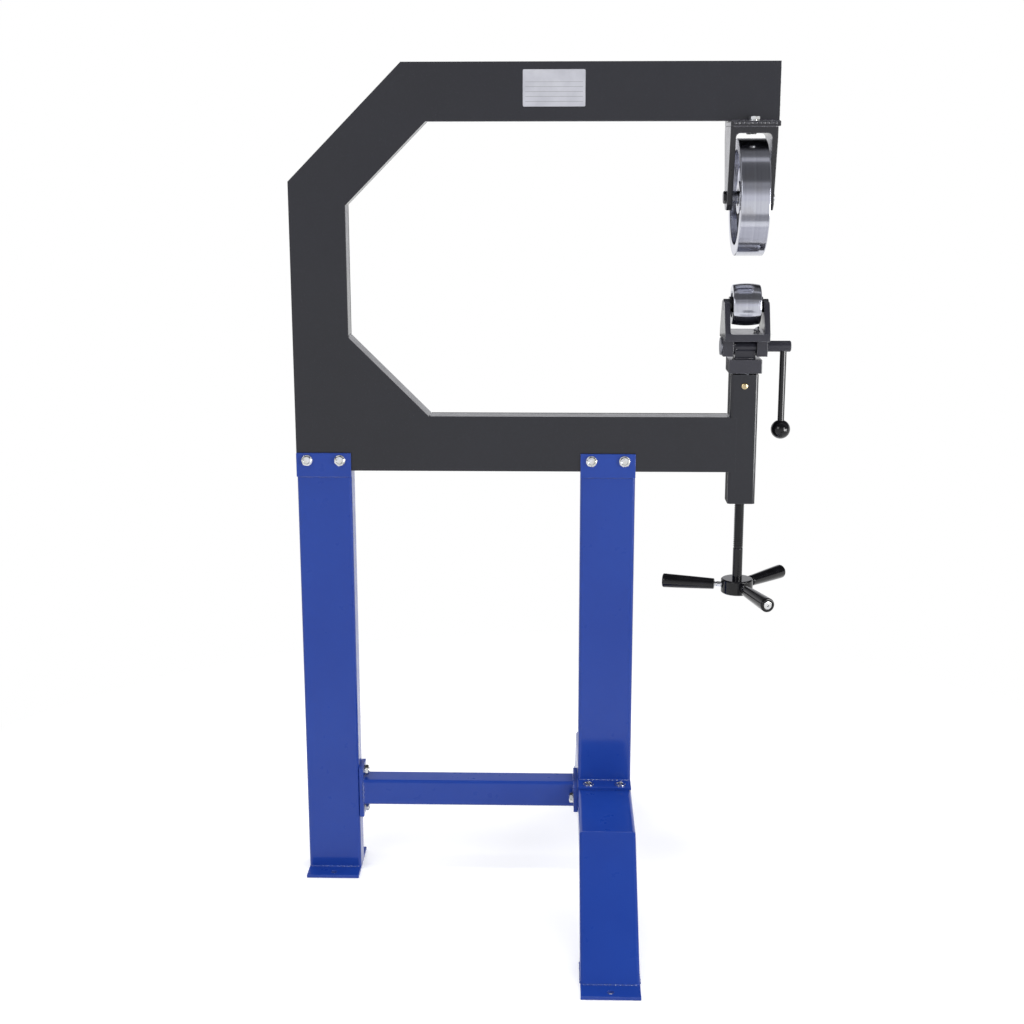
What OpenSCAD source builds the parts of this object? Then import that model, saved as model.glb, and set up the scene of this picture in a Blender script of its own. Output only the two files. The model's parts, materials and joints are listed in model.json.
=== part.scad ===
// English wheel: a C-frame on a bolted stand, with a flat upper wheel,
// a crowned anvil wheel, a screw lift and a quick-release lever.
// Millimetres. X runs along the arms towards the wheels, Y across, Z up from the floor.

/* [Frame] */
// Height of the machine from the floor to the top of the upper arm
frame_h = 1508; // [1400:1:1650]
// Depth of the throat from the column to the middle of the wheels
throat_d = 711; // [500:1:900]
// Clear height between the two arms
throat_h = 519; // [500:1:560]
// Length of the upper arm past the middle of the wheels
arm_tip = 45; // [44:1:70]
// Width of the frame tube in the plane of the frame
tube_w = 100; // [90:1:120]
// Depth of the frame tube across the frame
tube_d = 50; // [46:1:56]
// Wall of the frame tube
tube_wall = 4; // [3:0.5:5]
// Outside corner radius of the frame tube
tube_r = 6; // [5.5:0.5:8]
// Corner cut on the outside of the upper rear corner
corner_cut = 202; // [160:1:240]
// Leg of the triangular gusset in the lower rear corner
gusset_leg = 144; // [100:1:180]
// Thickness of the cap in the open end of the upper arm
cap_t = 4; // [3:0.5:8]

/* [Slide post] */
// Outside width of the square slide post
post_w = 50; // [48:1:54]
// Wall of the slide post
post_wall = 4; // [3.5:0.5:5]
// Length of the post above the lower arm
post_above = 77.5; // [70:0.5:80]
// Length of the post below the lower arm
post_below = 59; // [40:1:80]
// Height of the nut block in the foot of the post
nut_block_h = 26; // [20:1:34]
// Distance of the guide screw below the top of the post
guide_screw_drop = 20; // [14:1:30]

/* [Stand] */
// Wall of the leg tubes
leg_wall = 3; // [2.5:0.5:4]
// Distance from the middle of the wheels to the middle of the front leg
front_leg_back = 243; // [220:1:300]
// Depth of a joint plate above the underside of the arm
joint_up = 33; // [30:1:45]
// Depth of a joint plate below the underside of the arm
joint_down = 11; // [6:1:20]
// Thickness of the joint plates
joint_t = 5; // [4:0.5:8]
// Height of the joint bolts above the underside of the arm
joint_bolt_z = 20; // [15:1:24]
// Distance between the two bolts of a pair
bolt_pitch = 60; // [50:1:68]
// Thickness of the foot plates
foot_t = 6; // [5:0.5:10]
// Length of a foot plate across the frame
foot_len = 128; // [110:1:150]
// Distance a cross foot plate reaches past the sloped foot on it
foot_beyond = 38; // [32:1:46]
// Diameter of the floor anchor holes
anchor_d = 11; // [9:0.5:13]
// Distance of an anchor hole from the edge of its foot plate
anchor_edge = 15; // [10:0.5:16]
// Thickness of the flange under the front leg
flange_t = 6; // [5:0.5:10]
// Length of the flange across the frame
flange_len = 120; // [110:1:130]
// Distance of a flange bolt from the edge of the flange
flange_bolt_edge = 13; // [12:0.5:16]
// Height of the cross foot's top face above the floor
cross_top = 184; // [150:1:230]
// Depth of the cross foot tube
cross_t = 50; // [46:1:54]
// Length of the straight top of the cross foot
cross_top_len = 490; // [440:2:560]
// Angle of the sloped feet below the horizontal
cross_slope = 40; // [36:1:50]
// Wall of the crossbar
bar_wall = 3; // [2.5:0.5:4]
// Width of the square crossbar
bar_w = 50; // [44:1:52]
// Thickness of the crossbar's end plates
bar_plate_t = 8; // [6:0.5:10]
// Length of the crossbar's end plates
bar_plate_len = 100; // [98:1:110]
// Distance between the bolts of an end plate
bar_bolt_pitch = 74; // [72:1:78]

/* [Fasteners] */
// Thread diameter of the hexagon bolts
bolt_d = 10; // [9:0.5:11]
// Width across the flats of their heads and nuts
hex_af = 17; // [15:0.5:18]
// Height of a bolt head
head_h = 6.4; // [5:0.2:8]
// Height of a nut
nut_h = 8; // [6:0.5:10]
// Outside diameter of a washer
washer_d = 20; // [18:0.5:21]
// Thickness of a washer
washer_t = 2; // [1.5:0.25:3]
// Length of thread that stands out of a nut
thread_out = 4; // [2:0.5:8]
// Length of the yoke bolts that stands out below the yoke's top
bolt_proud = 2; // [0:0.5:4]
// Clearance of a bolt in its hole, all round
bolt_gap = 0.4; // [0.3:0.1:0.8]

/* [Upper wheel] */
// Diameter of the upper wheel
wheel_d = 203; // [180:1:210]
// Width of both wheels
wheel_w = 50; // [44:1:54]
// Radial thickness of the upper wheel's rim
rim_t = 19; // [14:0.5:26]
// Thickness of the upper wheel's web
web_t = 14; // [10:1:24]
// Diameter of the upper wheel's hub
hub_d = 58; // [50:1:66]
// Width of the upper wheel's hub
hub_w = 40; // [34:1:44]
// Gap between the upper wheel and the yoke above it
wheel_top_gap = 8.5; // [6:0.5:14]
// Thickness of the mounting plate under the arm
mount_t = 9; // [8:1:14]
// Length of the mounting plate along the arm
mount_len = 86; // [84:1:94]
// Depth of the mounting plate across the arm
mount_depth = 98; // [96:1:110]
// Distance of the yoke bolts from the middle of the arm
yoke_bolt_y = 37; // [36.5:0.5:39]
// Clear width inside the upper yoke
yoke_gap = 62; // [58:1:66]
// Thickness of the upper yoke's cheeks
cheek_t = 10; // [8:1:12]
// Thickness of the upper yoke's top
yoke_top_t = 11.5; // [10:0.5:16]
// Depth of the cheeks at the top
cheek_top_w = 96; // [80:1:97]
// Depth of the cheeks at the axle
cheek_low_w = 42; // [36:1:50]
// Length of the cheeks below the axle
cheek_below = 22; // [20:1:30]
// Diameter of the upper axle
upper_axle_d = 15; // [14:0.5:17]
// Outside diameter of the upper bearings
upper_brg_d = 35; // [32:1:40]
// Width of the upper bearings
upper_brg_w = 11; // [9:1:13]

/* [Anvil] */
// Diameter of the anvil wheel at its crown
anvil_d = 75; // [70:1:78]
// Radius of the anvil's crown across its tread
crown_r = 125; // [80:5:300]
// Diameter of the anvil axle
anvil_axle_d = 20; // [17:0.5:21]
// Outside diameter of the anvil's bearings
anvil_brg_d = 42; // [38:1:46]
// Width of the anvil's bearings
anvil_brg_w = 12; // [9:1:14]
// Clear width between the anvil yoke's arms
fork_gap = 60; // [57:1:64]
// Thickness of the anvil yoke's arms
fork_t = 10; // [8:1:12]
// Thickness of the anvil yoke's floor
fork_floor_t = 13; // [10:1:15]
// Depth of the anvil yoke at its floor
fork_low_w = 93; // [80:1:100]
// Depth of the anvil yoke's arms at their tops
fork_top_w = 48; // [40:1:54]
// Gap between the anvil and the floor of its yoke
anvil_floor_gap = 11; // [10.5:0.5:14]
// Height of the arms above the axle's middle
fork_above_axle = 6; // [3:0.5:7]

/* [Quick release] */
// Throw of the eccentric
ecc_throw = 2.5; // [1.5:0.1:2.8]
// Diameter of the eccentric
ecc_d = 10; // [8:0.5:11]
// Diameter of the shaft where it turns in the ears
journal_d = 16; // [15:0.5:18]
// Diameter of the shaft outside the ears
lever_hub_d = 20; // [18:0.5:24]
// Length of the shaft outside the ears
lever_hub_len = 43; // [36:1:50]
// Diameter of the lever's rod
rod_d = 12; // [10:0.5:13]
// Distance from the shaft to the middle of the knob
lever_len = 151; // [120:1:170]
// Diameter of the ball knob
knob_d = 35; // [30:1:40]
// Thickness of the ears under the yoke
ear_t = 19; // [14:1:19]
// Outside radius of the ears
ear_r = 17; // [14:0.5:17]
// Outside diameter of the knuckle between the ears
knuckle_d = 22; // [21.5:0.5:23]
// Height of the knuckle's middle above the slide head
knuckle_up = 19.5; // [19:0.5:20]
// Gap between the slide head and the underside of the yoke
yoke_up = 34.5; // [34.5:0.5:36]
// Depth of the knuckle's foot across the frame
knuckle_foot_w = 18; // [16:1:21]
// Shoulder of the knuckle past its foot at each end
knuckle_shoulder = 3; // [2:0.5:6]
// Thread diameter of the bolt that retains the shaft
retain_d = 6; // [5:0.5:8]
// Width across the flats of its head
retain_af = 10; // [8:0.5:11]
// Height of its head
retain_head_h = 4; // [3:0.5:4.5]
// Length of the retaining bolt under its head
retain_len = 23.5; // [23.5:0.5:24]
// Diameter of the two guide pins
pin_d = 8; // [6:0.5:10]

/* [Slide and screw] */
// Height of the slide head
head_block_h = 24.5; // [20:0.5:30]
// Length of the slide head along the arm
head_block_x = 59; // [56:1:66]
// Depth of the slide head across the arm
head_block_y = 58; // [56:1:64]
// Rest gap between the top of the post and the slide head
post_gap = 3; // [1:0.5:4]
// Length of the slide bar
slide_len = 150; // [130:1:160]
// Travel of the slide
travel = 47; // [30:1:47]
// Diameter of the round neck between the slide bar and its head
neck_d = 28; // [24:1:34]
// Depth of the neck's foot below the top of the post at rest
neck_in = 6; // [4:1:8]
// Diameter of the lift screw
screw_d = 18; // [16:0.5:20]
// Diameter of the screw's plain lower end
shank_d = 18; // [18:0.5:21]
// Length of the thread below the post at rest
thread_below = 89; // [60:1:110]
// Length of the plain end above the handwheel's hub
shank_len = 58; // [40:1:70]
// Diameter of the handwheel's hub
hand_hub_d = 59; // [54:1:64]
// Height of the handwheel's hub
hand_hub_h = 27; // [22:1:32]
// Reach of the grips from the screw's middle
grip_reach = 139; // [120:1:160]
// Length of a grip
grip_len = 97; // [80:1:100]
// Diameter of a grip at its outer end
grip_out_d = 26; // [24:0.5:28]
// Diameter of a grip at its inner end
grip_in_d = 20; // [18:0.5:22]
// Direction of the first grip, counted from the arm's direction
grip_turn = 47; // [40:1:80]
// Number of grips
grip_count = 3; // [3:1:3]

/* [Fits] */
// Radial clearance of a turning fit
run_gap = 0.06; // [0.04:0.01:0.1]
// Clearance of the square slide in its post, each side
slide_gap = 0.3; // [0.2:0.05:0.5]
// Clearance of the eccentric above and below in the knuckle's slot
slot_gap = 0.15; // [0.12:0.01:0.2]
// Side clearance of a piece that turns between two faces
side_gap = 0.4; // [0.3:0.1:0.8]

/* [Hidden] */
$fn = 72;
big = 2 * (frame_h + throat_d);
eps = 1;

// Frame heights and reaches, counted from the middle of the wheels
column_back = throat_d + tube_w;
column_mid = throat_d + tube_w / 2;
top_arm_z = frame_h - tube_w;
low_arm_top = top_arm_z - throat_h;
low_arm_z = low_arm_top - tube_w;
mitre = 45 / 2;
mitre_drop = tube_w / 2 * tan(mitre);
inner_cut = corner_cut - 2 * (tube_w - 2 * mitre_drop);
column_top_mid = frame_h - corner_cut - mitre_drop;
arm_start_mid = column_back - corner_cut - mitre_drop;

// Slide post
post_z = low_arm_z - post_below;
post_top = low_arm_top + post_above;
post_in = post_w - 2 * post_wall;
post_in_r = max(tube_r - post_wall, 1);
guide_z = post_top - guide_screw_drop;
guide_d = 6;
guide_head_d = 12;
guide_head_h = 2.5;
key_depth = 2;

// Upper wheel and yoke
mount_z = top_arm_z - mount_t;
yoke_z = mount_z - yoke_top_t;
wheel_r = wheel_d / 2;
wheel_z = yoke_z - wheel_top_gap - wheel_r;
yoke_w = yoke_gap + 2 * cheek_t;
yoke_bend_r = 8;
spacer_wall = 4;
axle_head_af = 19;
axle_head_h = 5;
axle_end = 3;

// Slide, knuckle and anvil yoke, at rest
head_z = post_top + post_gap;
head_top = head_z + head_block_h;
knuckle_z = head_top + knuckle_up;
shaft_z = knuckle_z + ecc_throw * sin(45);
fork_z = head_top + yoke_up;
fork_floor_z = fork_z + fork_floor_t;
anvil_r = anvil_d / 2;
anvil_z = fork_floor_z + anvil_floor_gap + anvil_r;
fork_w = fork_gap + 2 * fork_t;
ear_in = fork_w / 2 - ear_t;
knuckle_w = 2 * (ear_in - side_gap);
release = 2 * ecc_throw * sin(45);
slot_half_h = ecc_d / 2 + slot_gap;
slot_half_w = ecc_d / 2 + ecc_throw + side_gap;
rod_x = fork_w / 2 + lever_hub_len - 13;
end_washer_d = 2 * ear_r - 2;
end_washer_t = 3.5;
pin_x = 14;
pin_y = 22;
pin_in_yoke = 5;
pin_seat = 12;
retain_tilt = 34;
retain_x = fork_w / 2 - 4;

// Slide bar and screw
slide_w = post_in - 2 * slide_gap;
slide_z = head_z - slide_len;
thrust_t = 3;
thrust_d = 32;
spigot_d = 12;
spigot_len = 20;
screw_top = slide_z - thrust_t;
hand_hub_top = post_z - thread_below - shank_len;
hand_hub_z = hand_hub_top - hand_hub_h;
grip_z = hand_hub_z + hand_hub_h / 2;
stud_d = 10;
stud_in_hub = 12;
spindle_d = 8.4;
spindle_head_d = 15;
spindle_head_h = 3;
grip_edge = 3;
grip_start = grip_reach - grip_len;

// Stand
leg_top = low_arm_z;
cross_z = cross_top - cross_t;
front_leg_z = cross_top + flange_t;
bar_z = cross_z + cross_t / 2;
bar_from = throat_d - bar_plate_t;
bar_to = front_leg_back + tube_w / 2 + bar_plate_t;
cross_bend = cross_slope / 2;
cross_half = cross_top_len / 2 - cross_t / 2 * tan(cross_bend);
slope_run = (bar_z - foot_t) / tan(cross_slope);
slope_foot_y = cross_half + slope_run;
foot_slice = cross_t / sin(cross_slope);
cross_foot_out = slope_foot_y + foot_slice / 2 + foot_beyond;
cross_plate_len = max(foot_len, foot_slice + foot_beyond + eps);

// The row's middle lies halfway between the column's back and the furthest grip or knob
grip_angles = [for (i = [0 : grip_count - 1]) grip_turn + i * 360 / grip_count];
grip_tips = [for (a = grip_angles)
    (grip_reach - grip_edge) * cos(a) + (grip_out_d / 2 - grip_edge) * abs(sin(a)) + grip_edge];
right_reach = max(max(grip_tips), rod_x + knob_d / 2, fork_w / 2 + lever_hub_len, arm_tip);
wheel_x = (column_back - right_reach) / 2;
column_x = wheel_x - column_mid;
front_x = wheel_x - front_leg_back;

frame_grey = "#3b3c42";
stand_blue = "#2f47a0";
zinc = "#c9cbce";
steel = "#b9bbc0";
dark_steel = "#4a4b50";
black = "#1a1b1d";
brass = "#b79a5a";

// Shared shapes
module round_rect(w, d, r) {
    square([w - 2 * r, d], center = true);
    square([w, d - 2 * r], center = true);
    for (x = [-1, 1], y = [-1, 1])
        translate([x * (w / 2 - r), y * (d / 2 - r)])
            circle(r);
}

module tube_profile(w, d, wall, r) {
    difference() {
        round_rect(w, d, r);
        round_rect(w - 2 * wall, d - 2 * wall, max(r - wall, 1));
    }
}

// A tube along Z, cut at each end by a plane tilted about Y
module mitred_tube(w, d, wall, r, len, tilt_start, tilt_end) {
    difference() {
        translate([0, 0, -w])
            linear_extrude(len + 2 * w)
                tube_profile(w, d, wall, r);
        rotate([0, tilt_start, 0])
            translate([-w, -w, -2 * w])
                cube([2 * w, 2 * w, 2 * w]);
        translate([0, 0, len])
            rotate([0, tilt_end, 0])
                translate([-w, -w, 0])
                    cube([2 * w, 2 * w, 2 * w]);
    }
}

// A bore along Y through the whole depth at the origin
module cross_hole(d, depth) {
    rotate([90, 0, 0])
        cylinder(d = d, h = depth + 2 * eps, center = true);
}

// A rod along X, from x = from to x = to
module rod_x_axis(d, from, to) {
    translate([from, 0, 0])
        rotate([0, 90, 0])
            cylinder(d = d, h = to - from);
}

module ring_x_axis(outer_d, inner_d, from, to) {
    difference() {
        rod_x_axis(outer_d, from, to);
        rod_x_axis(inner_d, from - eps, to + eps);
    }
}

// A hexagonal prism standing on the origin along Z
module hexagon(af, h) {
    cylinder(d = af / cos(30), h = h, $fn = 6);
}

// A bolt along Z: its head stands on the origin and its shank runs down
module hex_bolt(len) {
    hexagon(hex_af, head_h);
    translate([0, 0, -len])
        cylinder(d = bolt_d, h = len);
}

module hex_nut() {
    difference() {
        hexagon(hex_af, nut_h);
        translate([0, 0, -eps])
            cylinder(r = bolt_d / 2 + run_gap, h = nut_h + 2 * eps);
    }
}

module washer() {
    difference() {
        cylinder(d = washer_d, h = washer_t);
        translate([0, 0, -eps])
            cylinder(r = bolt_d / 2 + bolt_gap, h = washer_t + 2 * eps);
    }
}

// Where the fasteners sit
bolt_hole = bolt_d + 2 * bolt_gap;
joint_half = tube_d / 2 + joint_t;
flange_bolt_y = flange_len / 2 - flange_bolt_edge;

module at_joint_bolts() {
    for (x = [column_x, front_x], side = [-1, 1])
        translate([x + side * bolt_pitch / 2, 0, low_arm_z + joint_bolt_z])
            children();
}

module at_yoke_bolts() {
    for (side = [-1, 1])
        translate([wheel_x, side * yoke_bolt_y, 0])
            children();
}

module at_flange_bolts() {
    for (x = [-1, 1], y = [-1, 1])
        translate([front_x + x * bolt_pitch / 2, y * flange_bolt_y, 0])
            children();
}

// End plate bolts: upright pair on the column leg, level pair on the cross foot, heads towards the bar
module at_bar_bolts() {
    for (side = [-1, 1]) {
        translate([wheel_x - bar_from, 0, bar_z + side * bar_bolt_pitch / 2])
            rotate([0, 90, 0])
                children();
        translate([wheel_x - bar_to, side * bar_bolt_pitch / 2, bar_z])
            rotate([0, -90, 0])
                children();
    }
}

// Frame
module frame_column() {
    color(frame_grey)
        difference() {
            translate([column_x, 0, low_arm_z])
                mitred_tube(tube_w, tube_d, tube_wall, tube_r, column_top_mid - low_arm_z, 0, mitre);
            at_joint_bolts()
                cross_hole(bolt_hole, tube_d);
        }
}

module frame_upper_diagonal() {
    color(frame_grey)
        translate([column_x, 0, column_top_mid])
            rotate([0, 45, 0])
                mitred_tube(tube_w, tube_d, tube_wall, tube_r,
                    (column_mid - arm_start_mid) * sqrt(2), -mitre, mitre);
}

module frame_top_arm() {
    color(frame_grey)
        translate([wheel_x - arm_start_mid, 0, frame_h - tube_w / 2])
            rotate([0, 90, 0])
                mitred_tube(tube_w, tube_d, tube_wall, tube_r, arm_start_mid + arm_tip, -mitre, 0);
}

module frame_arm_cap() {
    color(frame_grey)
        translate([wheel_x + arm_tip - cap_t, 0, frame_h - tube_w / 2])
            rotate([0, 90, 0])
                linear_extrude(cap_t)
                    round_rect(tube_w - 2 * tube_wall, tube_d - 2 * tube_wall, max(tube_r - tube_wall, 1));
}

module frame_lower_arm() {
    color(frame_grey)
        difference() {
            translate([wheel_x - throat_d, 0, low_arm_z + tube_w / 2])
                rotate([0, 90, 0])
                    mitred_tube(tube_w, tube_d, tube_wall, tube_r, throat_d - post_w / 2, 0, 0);
            at_joint_bolts()
                cross_hole(bolt_hole, tube_d);
        }
}

// A folded box gusset, open towards the column and the arm that close it
module frame_gusset() {
    inside = gusset_leg - tube_wall * sqrt(2);
    color(frame_grey)
        translate([wheel_x - throat_d, 0, low_arm_top])
            rotate([90, 0, 0])
                difference() {
                    linear_extrude(tube_d, center = true)
                        polygon([[0, 0], [gusset_leg, 0], [0, gusset_leg]]);
                    linear_extrude(tube_d - 2 * tube_wall, center = true)
                        polygon([[-eps, -eps], [inside + eps, -eps], [-eps, inside + eps]]);
                }
}

module slide_post() {
    color(frame_grey)
        difference() {
            translate([wheel_x, 0, post_z])
                linear_extrude(post_top - post_z)
                    tube_profile(post_w, post_w, post_wall, tube_r);
            translate([wheel_x, -post_w / 2, guide_z])
                cross_hole(guide_d + 2 * run_gap, 2 * post_wall);
        }
}

module post_nut() {
    color(dark_steel)
        translate([wheel_x, 0, post_z])
            linear_extrude(nut_block_h)
                difference() {
                    round_rect(post_in, post_in, post_in_r);
                    circle(r = screw_d / 2 + run_gap);
                }
}

module guide_screw() {
    color(brass)
        translate([wheel_x, -post_w / 2, guide_z])
            rotate([90, 0, 0]) {
                cylinder(d = guide_head_d, h = guide_head_h);
                translate([0, 0, -(post_wall + slide_gap + key_depth / 2)])
                    cylinder(d = guide_d, h = post_wall + slide_gap + key_depth / 2);
            }
}

// Upper wheel
module wheel_mount_plate() {
    color(dark_steel)
        difference() {
            translate([wheel_x + arm_tip - mount_len, -mount_depth / 2, mount_z])
                cube([mount_len, mount_depth, mount_t]);
            at_yoke_bolts()
                translate([0, 0, mount_z - eps])
                    cylinder(d = bolt_hole, h = mount_t + 2 * eps);
        }
}

// The bent flat bar seen from the front, before its cheeks are tapered
module upper_yoke_front() {
    depth = mount_z - wheel_z + cheek_below;
    inside = depth - yoke_top_t;
    difference() {
        translate([-yoke_w / 2, -depth])
            square([yoke_w, depth]);
        translate([-yoke_gap / 2, -depth - eps])
            square([yoke_gap, inside - yoke_bend_r + eps]);
        translate([-yoke_gap / 2 + yoke_bend_r, -depth])
            square([yoke_gap - 2 * yoke_bend_r, inside]);
        for (side = [-1, 1])
            translate([side * (yoke_gap / 2 - yoke_bend_r), -yoke_top_t - yoke_bend_r])
                circle(yoke_bend_r);
    }
}

// The same bar seen from the side: wide at the top, narrow and chamfered at the axle
module upper_yoke_side() {
    top = cheek_top_w / 2;
    low = cheek_low_w / 2;
    down = wheel_z - mount_z;
    foot = down - cheek_below;
    polygon([[-top, 0], [top, 0], [top, -yoke_top_t - yoke_bend_r], [low, down],
        [low, foot + low / 2], [low / 2, foot], [-low / 2, foot], [-low, foot + low / 2],
        [-low, down], [-top, -yoke_top_t - yoke_bend_r]]);
}

module upper_yoke() {
    color(dark_steel)
        difference() {
            translate([wheel_x, 0, mount_z])
                intersection() {
                    rotate([90, 0, 0])
                        linear_extrude(cheek_top_w, center = true)
                            upper_yoke_front();
                    rotate([90, 0, 90])
                        linear_extrude(yoke_w, center = true)
                            upper_yoke_side();
                }
            translate([wheel_x, 0, wheel_z])
                rod_x_axis(upper_axle_d + 2 * run_gap, -yoke_w, yoke_w);
            at_yoke_bolts()
                translate([0, 0, yoke_z - eps])
                    cylinder(r = bolt_d / 2 + run_gap, h = yoke_top_t + 2 * eps);
        }
}

module upper_axle() {
    color(dark_steel)
        translate([wheel_x, 0, wheel_z]) {
            rod_x_axis(upper_axle_d, -yoke_w / 2, yoke_w / 2 + axle_end);
            translate([-yoke_w / 2, 0, 0])
                rotate([0, -90, 0])
                    hexagon(axle_head_af, axle_head_h);
        }
}

module upper_spacers() {
    color(dark_steel)
        translate([wheel_x, 0, wheel_z])
            for (side = [0, 1])
                mirror([side, 0, 0])
                    ring_x_axis(upper_axle_d + 2 * spacer_wall, upper_axle_d + 2 * run_gap,
                        hub_w / 2, yoke_gap / 2);
}

module upper_wheel() {
    rim_in = wheel_r - rim_t;
    seat = upper_brg_d / 2 + run_gap;
    edge = 1.5;
    color(steel)
        translate([wheel_x, 0, wheel_z])
            rotate([0, 90, 0])
                rotate_extrude()
                    difference() {
                        union() {
                            translate([rim_in, -wheel_w / 2 + edge])
                                square([rim_t, wheel_w - 2 * edge]);
                            translate([rim_in + edge, -wheel_w / 2])
                                square([rim_t - 2 * edge, wheel_w]);
                            for (x = [rim_in + edge, wheel_r - edge], z = [-1, 1])
                                translate([x, z * (wheel_w / 2 - edge)])
                                    circle(edge);
                            translate([0, -web_t / 2])
                                square([rim_in + edge, web_t]);
                            translate([0, -hub_w / 2])
                                square([hub_d / 2, hub_w]);
                        }
                        translate([-eps, -hub_w])
                            square([seat - spacer_wall + eps, 2 * hub_w]);
                        for (z = [-hub_w / 2 - eps, hub_w / 2 - upper_brg_w])
                            translate([-eps, z])
                                square([seat + eps, upper_brg_w + eps]);
                    }
}

module upper_bearings() {
    color(steel)
        translate([wheel_x, 0, wheel_z])
            for (side = [0, 1])
                mirror([side, 0, 0])
                    ring_x_axis(upper_brg_d, upper_axle_d + 2 * run_gap,
                        hub_w / 2 - upper_brg_w, hub_w / 2);
}

// Stand
module leg(z, top) {
    translate([0, 0, z])
        linear_extrude(top - z)
            tube_profile(tube_w, tube_d, leg_wall, tube_r);
}

module column_leg() {
    color(stand_blue)
        difference() {
            translate([column_x, 0, 0])
                leg(foot_t, leg_top);
            at_bar_bolts()
                translate([0, 0, -bar_plate_t - 2 * leg_wall])
                    cylinder(d = bolt_hole, h = bar_plate_t + 2 * leg_wall);
        }
}

module column_foot_plate() {
    color(stand_blue)
        difference() {
            translate([column_x - tube_w / 2, -foot_len / 2, 0])
                cube([tube_w, foot_len, foot_t]);
            for (side = [-1, 1])
                translate([column_x, side * (foot_len / 2 - anchor_edge), -eps])
                    cylinder(d = anchor_d, h = foot_t + 2 * eps);
        }
}

module joint_plates(x) {
    difference() {
        for (side = [0, 1])
            mirror([0, side, 0])
                translate([x - tube_w / 2, tube_d / 2, low_arm_z - joint_down])
                    cube([tube_w, joint_t, joint_down + joint_up]);
        at_joint_bolts()
            cross_hole(bolt_hole, 2 * joint_half);
    }
}

module column_joint_plates() {
    color(stand_blue)
        joint_plates(column_x);
}

module front_joint_plates() {
    color(stand_blue)
        joint_plates(front_x);
}

module front_leg() {
    color(stand_blue)
        translate([front_x, 0, 0])
            leg(front_leg_z, leg_top);
}

module front_leg_flange() {
    color(stand_blue)
        difference() {
            translate([front_x - tube_w / 2, -flange_len / 2, cross_top])
                cube([tube_w, flange_len, flange_t]);
            at_flange_bolts()
                translate([0, 0, cross_top - eps])
                    cylinder(d = bolt_hole, h = flange_t + 2 * eps);
        }
}

// Cross foot tubes run across the frame, so each is turned a quarter about Z
module cross_foot_beam() {
    color(stand_blue)
        difference() {
            translate([front_x, cross_half, bar_z])
                rotate([90, 0, 0])
                    cross_tube(2 * cross_half, -cross_bend, cross_bend);
            at_flange_bolts()
                translate([0, 0, cross_top - 2 * leg_wall])
                    cylinder(d = bolt_hole, h = 2 * leg_wall + eps);
            at_bar_bolts()
                translate([0, 0, -bar_plate_t - 2 * leg_wall])
                    cylinder(d = bolt_hole, h = bar_plate_t + 2 * leg_wall);
        }
}

// A tube along Z, wide in X, whose ends are cut by planes tilted about X
module cross_tube(len, tilt_start, tilt_end) {
    difference() {
        translate([0, 0, -tube_w])
            linear_extrude(len + 2 * tube_w)
                tube_profile(tube_w, cross_t, leg_wall, tube_r);
        rotate([tilt_start, 0, 0])
            translate([-tube_w, -tube_w, -2 * tube_w])
                cube(2 * tube_w);
        translate([0, 0, len])
            rotate([tilt_end, 0, 0])
                translate([-tube_w, -tube_w, 0])
                    cube(2 * tube_w);
    }
}

// One sloped foot, running down from the beam's end towards -Y
module sloped_foot() {
    translate([front_x, -cross_half, bar_z])
        rotate([90 + cross_slope, 0, 0])
            cross_tube(slope_run / cos(cross_slope), -cross_bend, 90 - cross_slope);
}

module cross_foot_front() {
    color(stand_blue)
        sloped_foot();
}

module cross_foot_rear() {
    color(stand_blue)
        mirror([0, 1, 0])
            sloped_foot();
}

module cross_foot_plate() {
    difference() {
        translate([front_x - tube_w / 2, -cross_foot_out, 0])
            cube([tube_w, cross_plate_len, foot_t]);
        translate([front_x, -cross_foot_out + anchor_edge, -eps])
            cylinder(d = anchor_d, h = foot_t + 2 * eps);
    }
}

module cross_foot_plate_front() {
    color(stand_blue)
        cross_foot_plate();
}

module cross_foot_plate_rear() {
    color(stand_blue)
        mirror([0, 1, 0])
            cross_foot_plate();
}

module crossbar() {
    color(stand_blue)
        translate([wheel_x - bar_from, 0, bar_z])
            rotate([0, 90, 0])
                linear_extrude(bar_from - bar_to)
                    tube_profile(bar_w, bar_w, bar_wall, tube_r);
}

module crossbar_plate_rear() {
    color(stand_blue)
        difference() {
            translate([wheel_x - throat_d, -bar_w / 2, bar_z - bar_plate_len / 2])
                cube([bar_plate_t, bar_w, bar_plate_len]);
            at_bar_bolts()
                translate([0, 0, -bar_plate_t - eps])
                    cylinder(d = bolt_hole, h = bar_plate_t + 2 * eps);
        }
}

module crossbar_plate_front() {
    color(stand_blue)
        difference() {
            translate([wheel_x - bar_to, -bar_plate_len / 2, bar_z - bar_w / 2])
                cube([bar_plate_t, bar_plate_len, bar_w]);
            at_bar_bolts()
                translate([0, 0, -bar_plate_t - eps])
                    cylinder(d = bolt_hole, h = bar_plate_t + 2 * eps);
        }
}

// Fasteners
module joint_bolts() {
    len = 2 * (joint_half + washer_t) + nut_h + thread_out;
    color(zinc)
        at_joint_bolts()
            translate([0, -joint_half - washer_t, 0])
                rotate([90, 0, 0])
                    hex_bolt(len);
}

// These two screw into the yoke's tapped top and end just below it
module yoke_bolts() {
    color(zinc)
        at_yoke_bolts()
            translate([0, 0, top_arm_z + washer_t])
                hex_bolt(washer_t + mount_t + yoke_top_t + bolt_proud);
}

module stand_bolts() {
    color(zinc) {
        at_flange_bolts()
            translate([0, 0, front_leg_z + washer_t])
                hex_bolt(washer_t + flange_t + leg_wall + nut_h);
        at_bar_bolts()
            translate([0, 0, washer_t])
                hex_bolt(washer_t + bar_plate_t + leg_wall + nut_h);
    }
}

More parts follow.
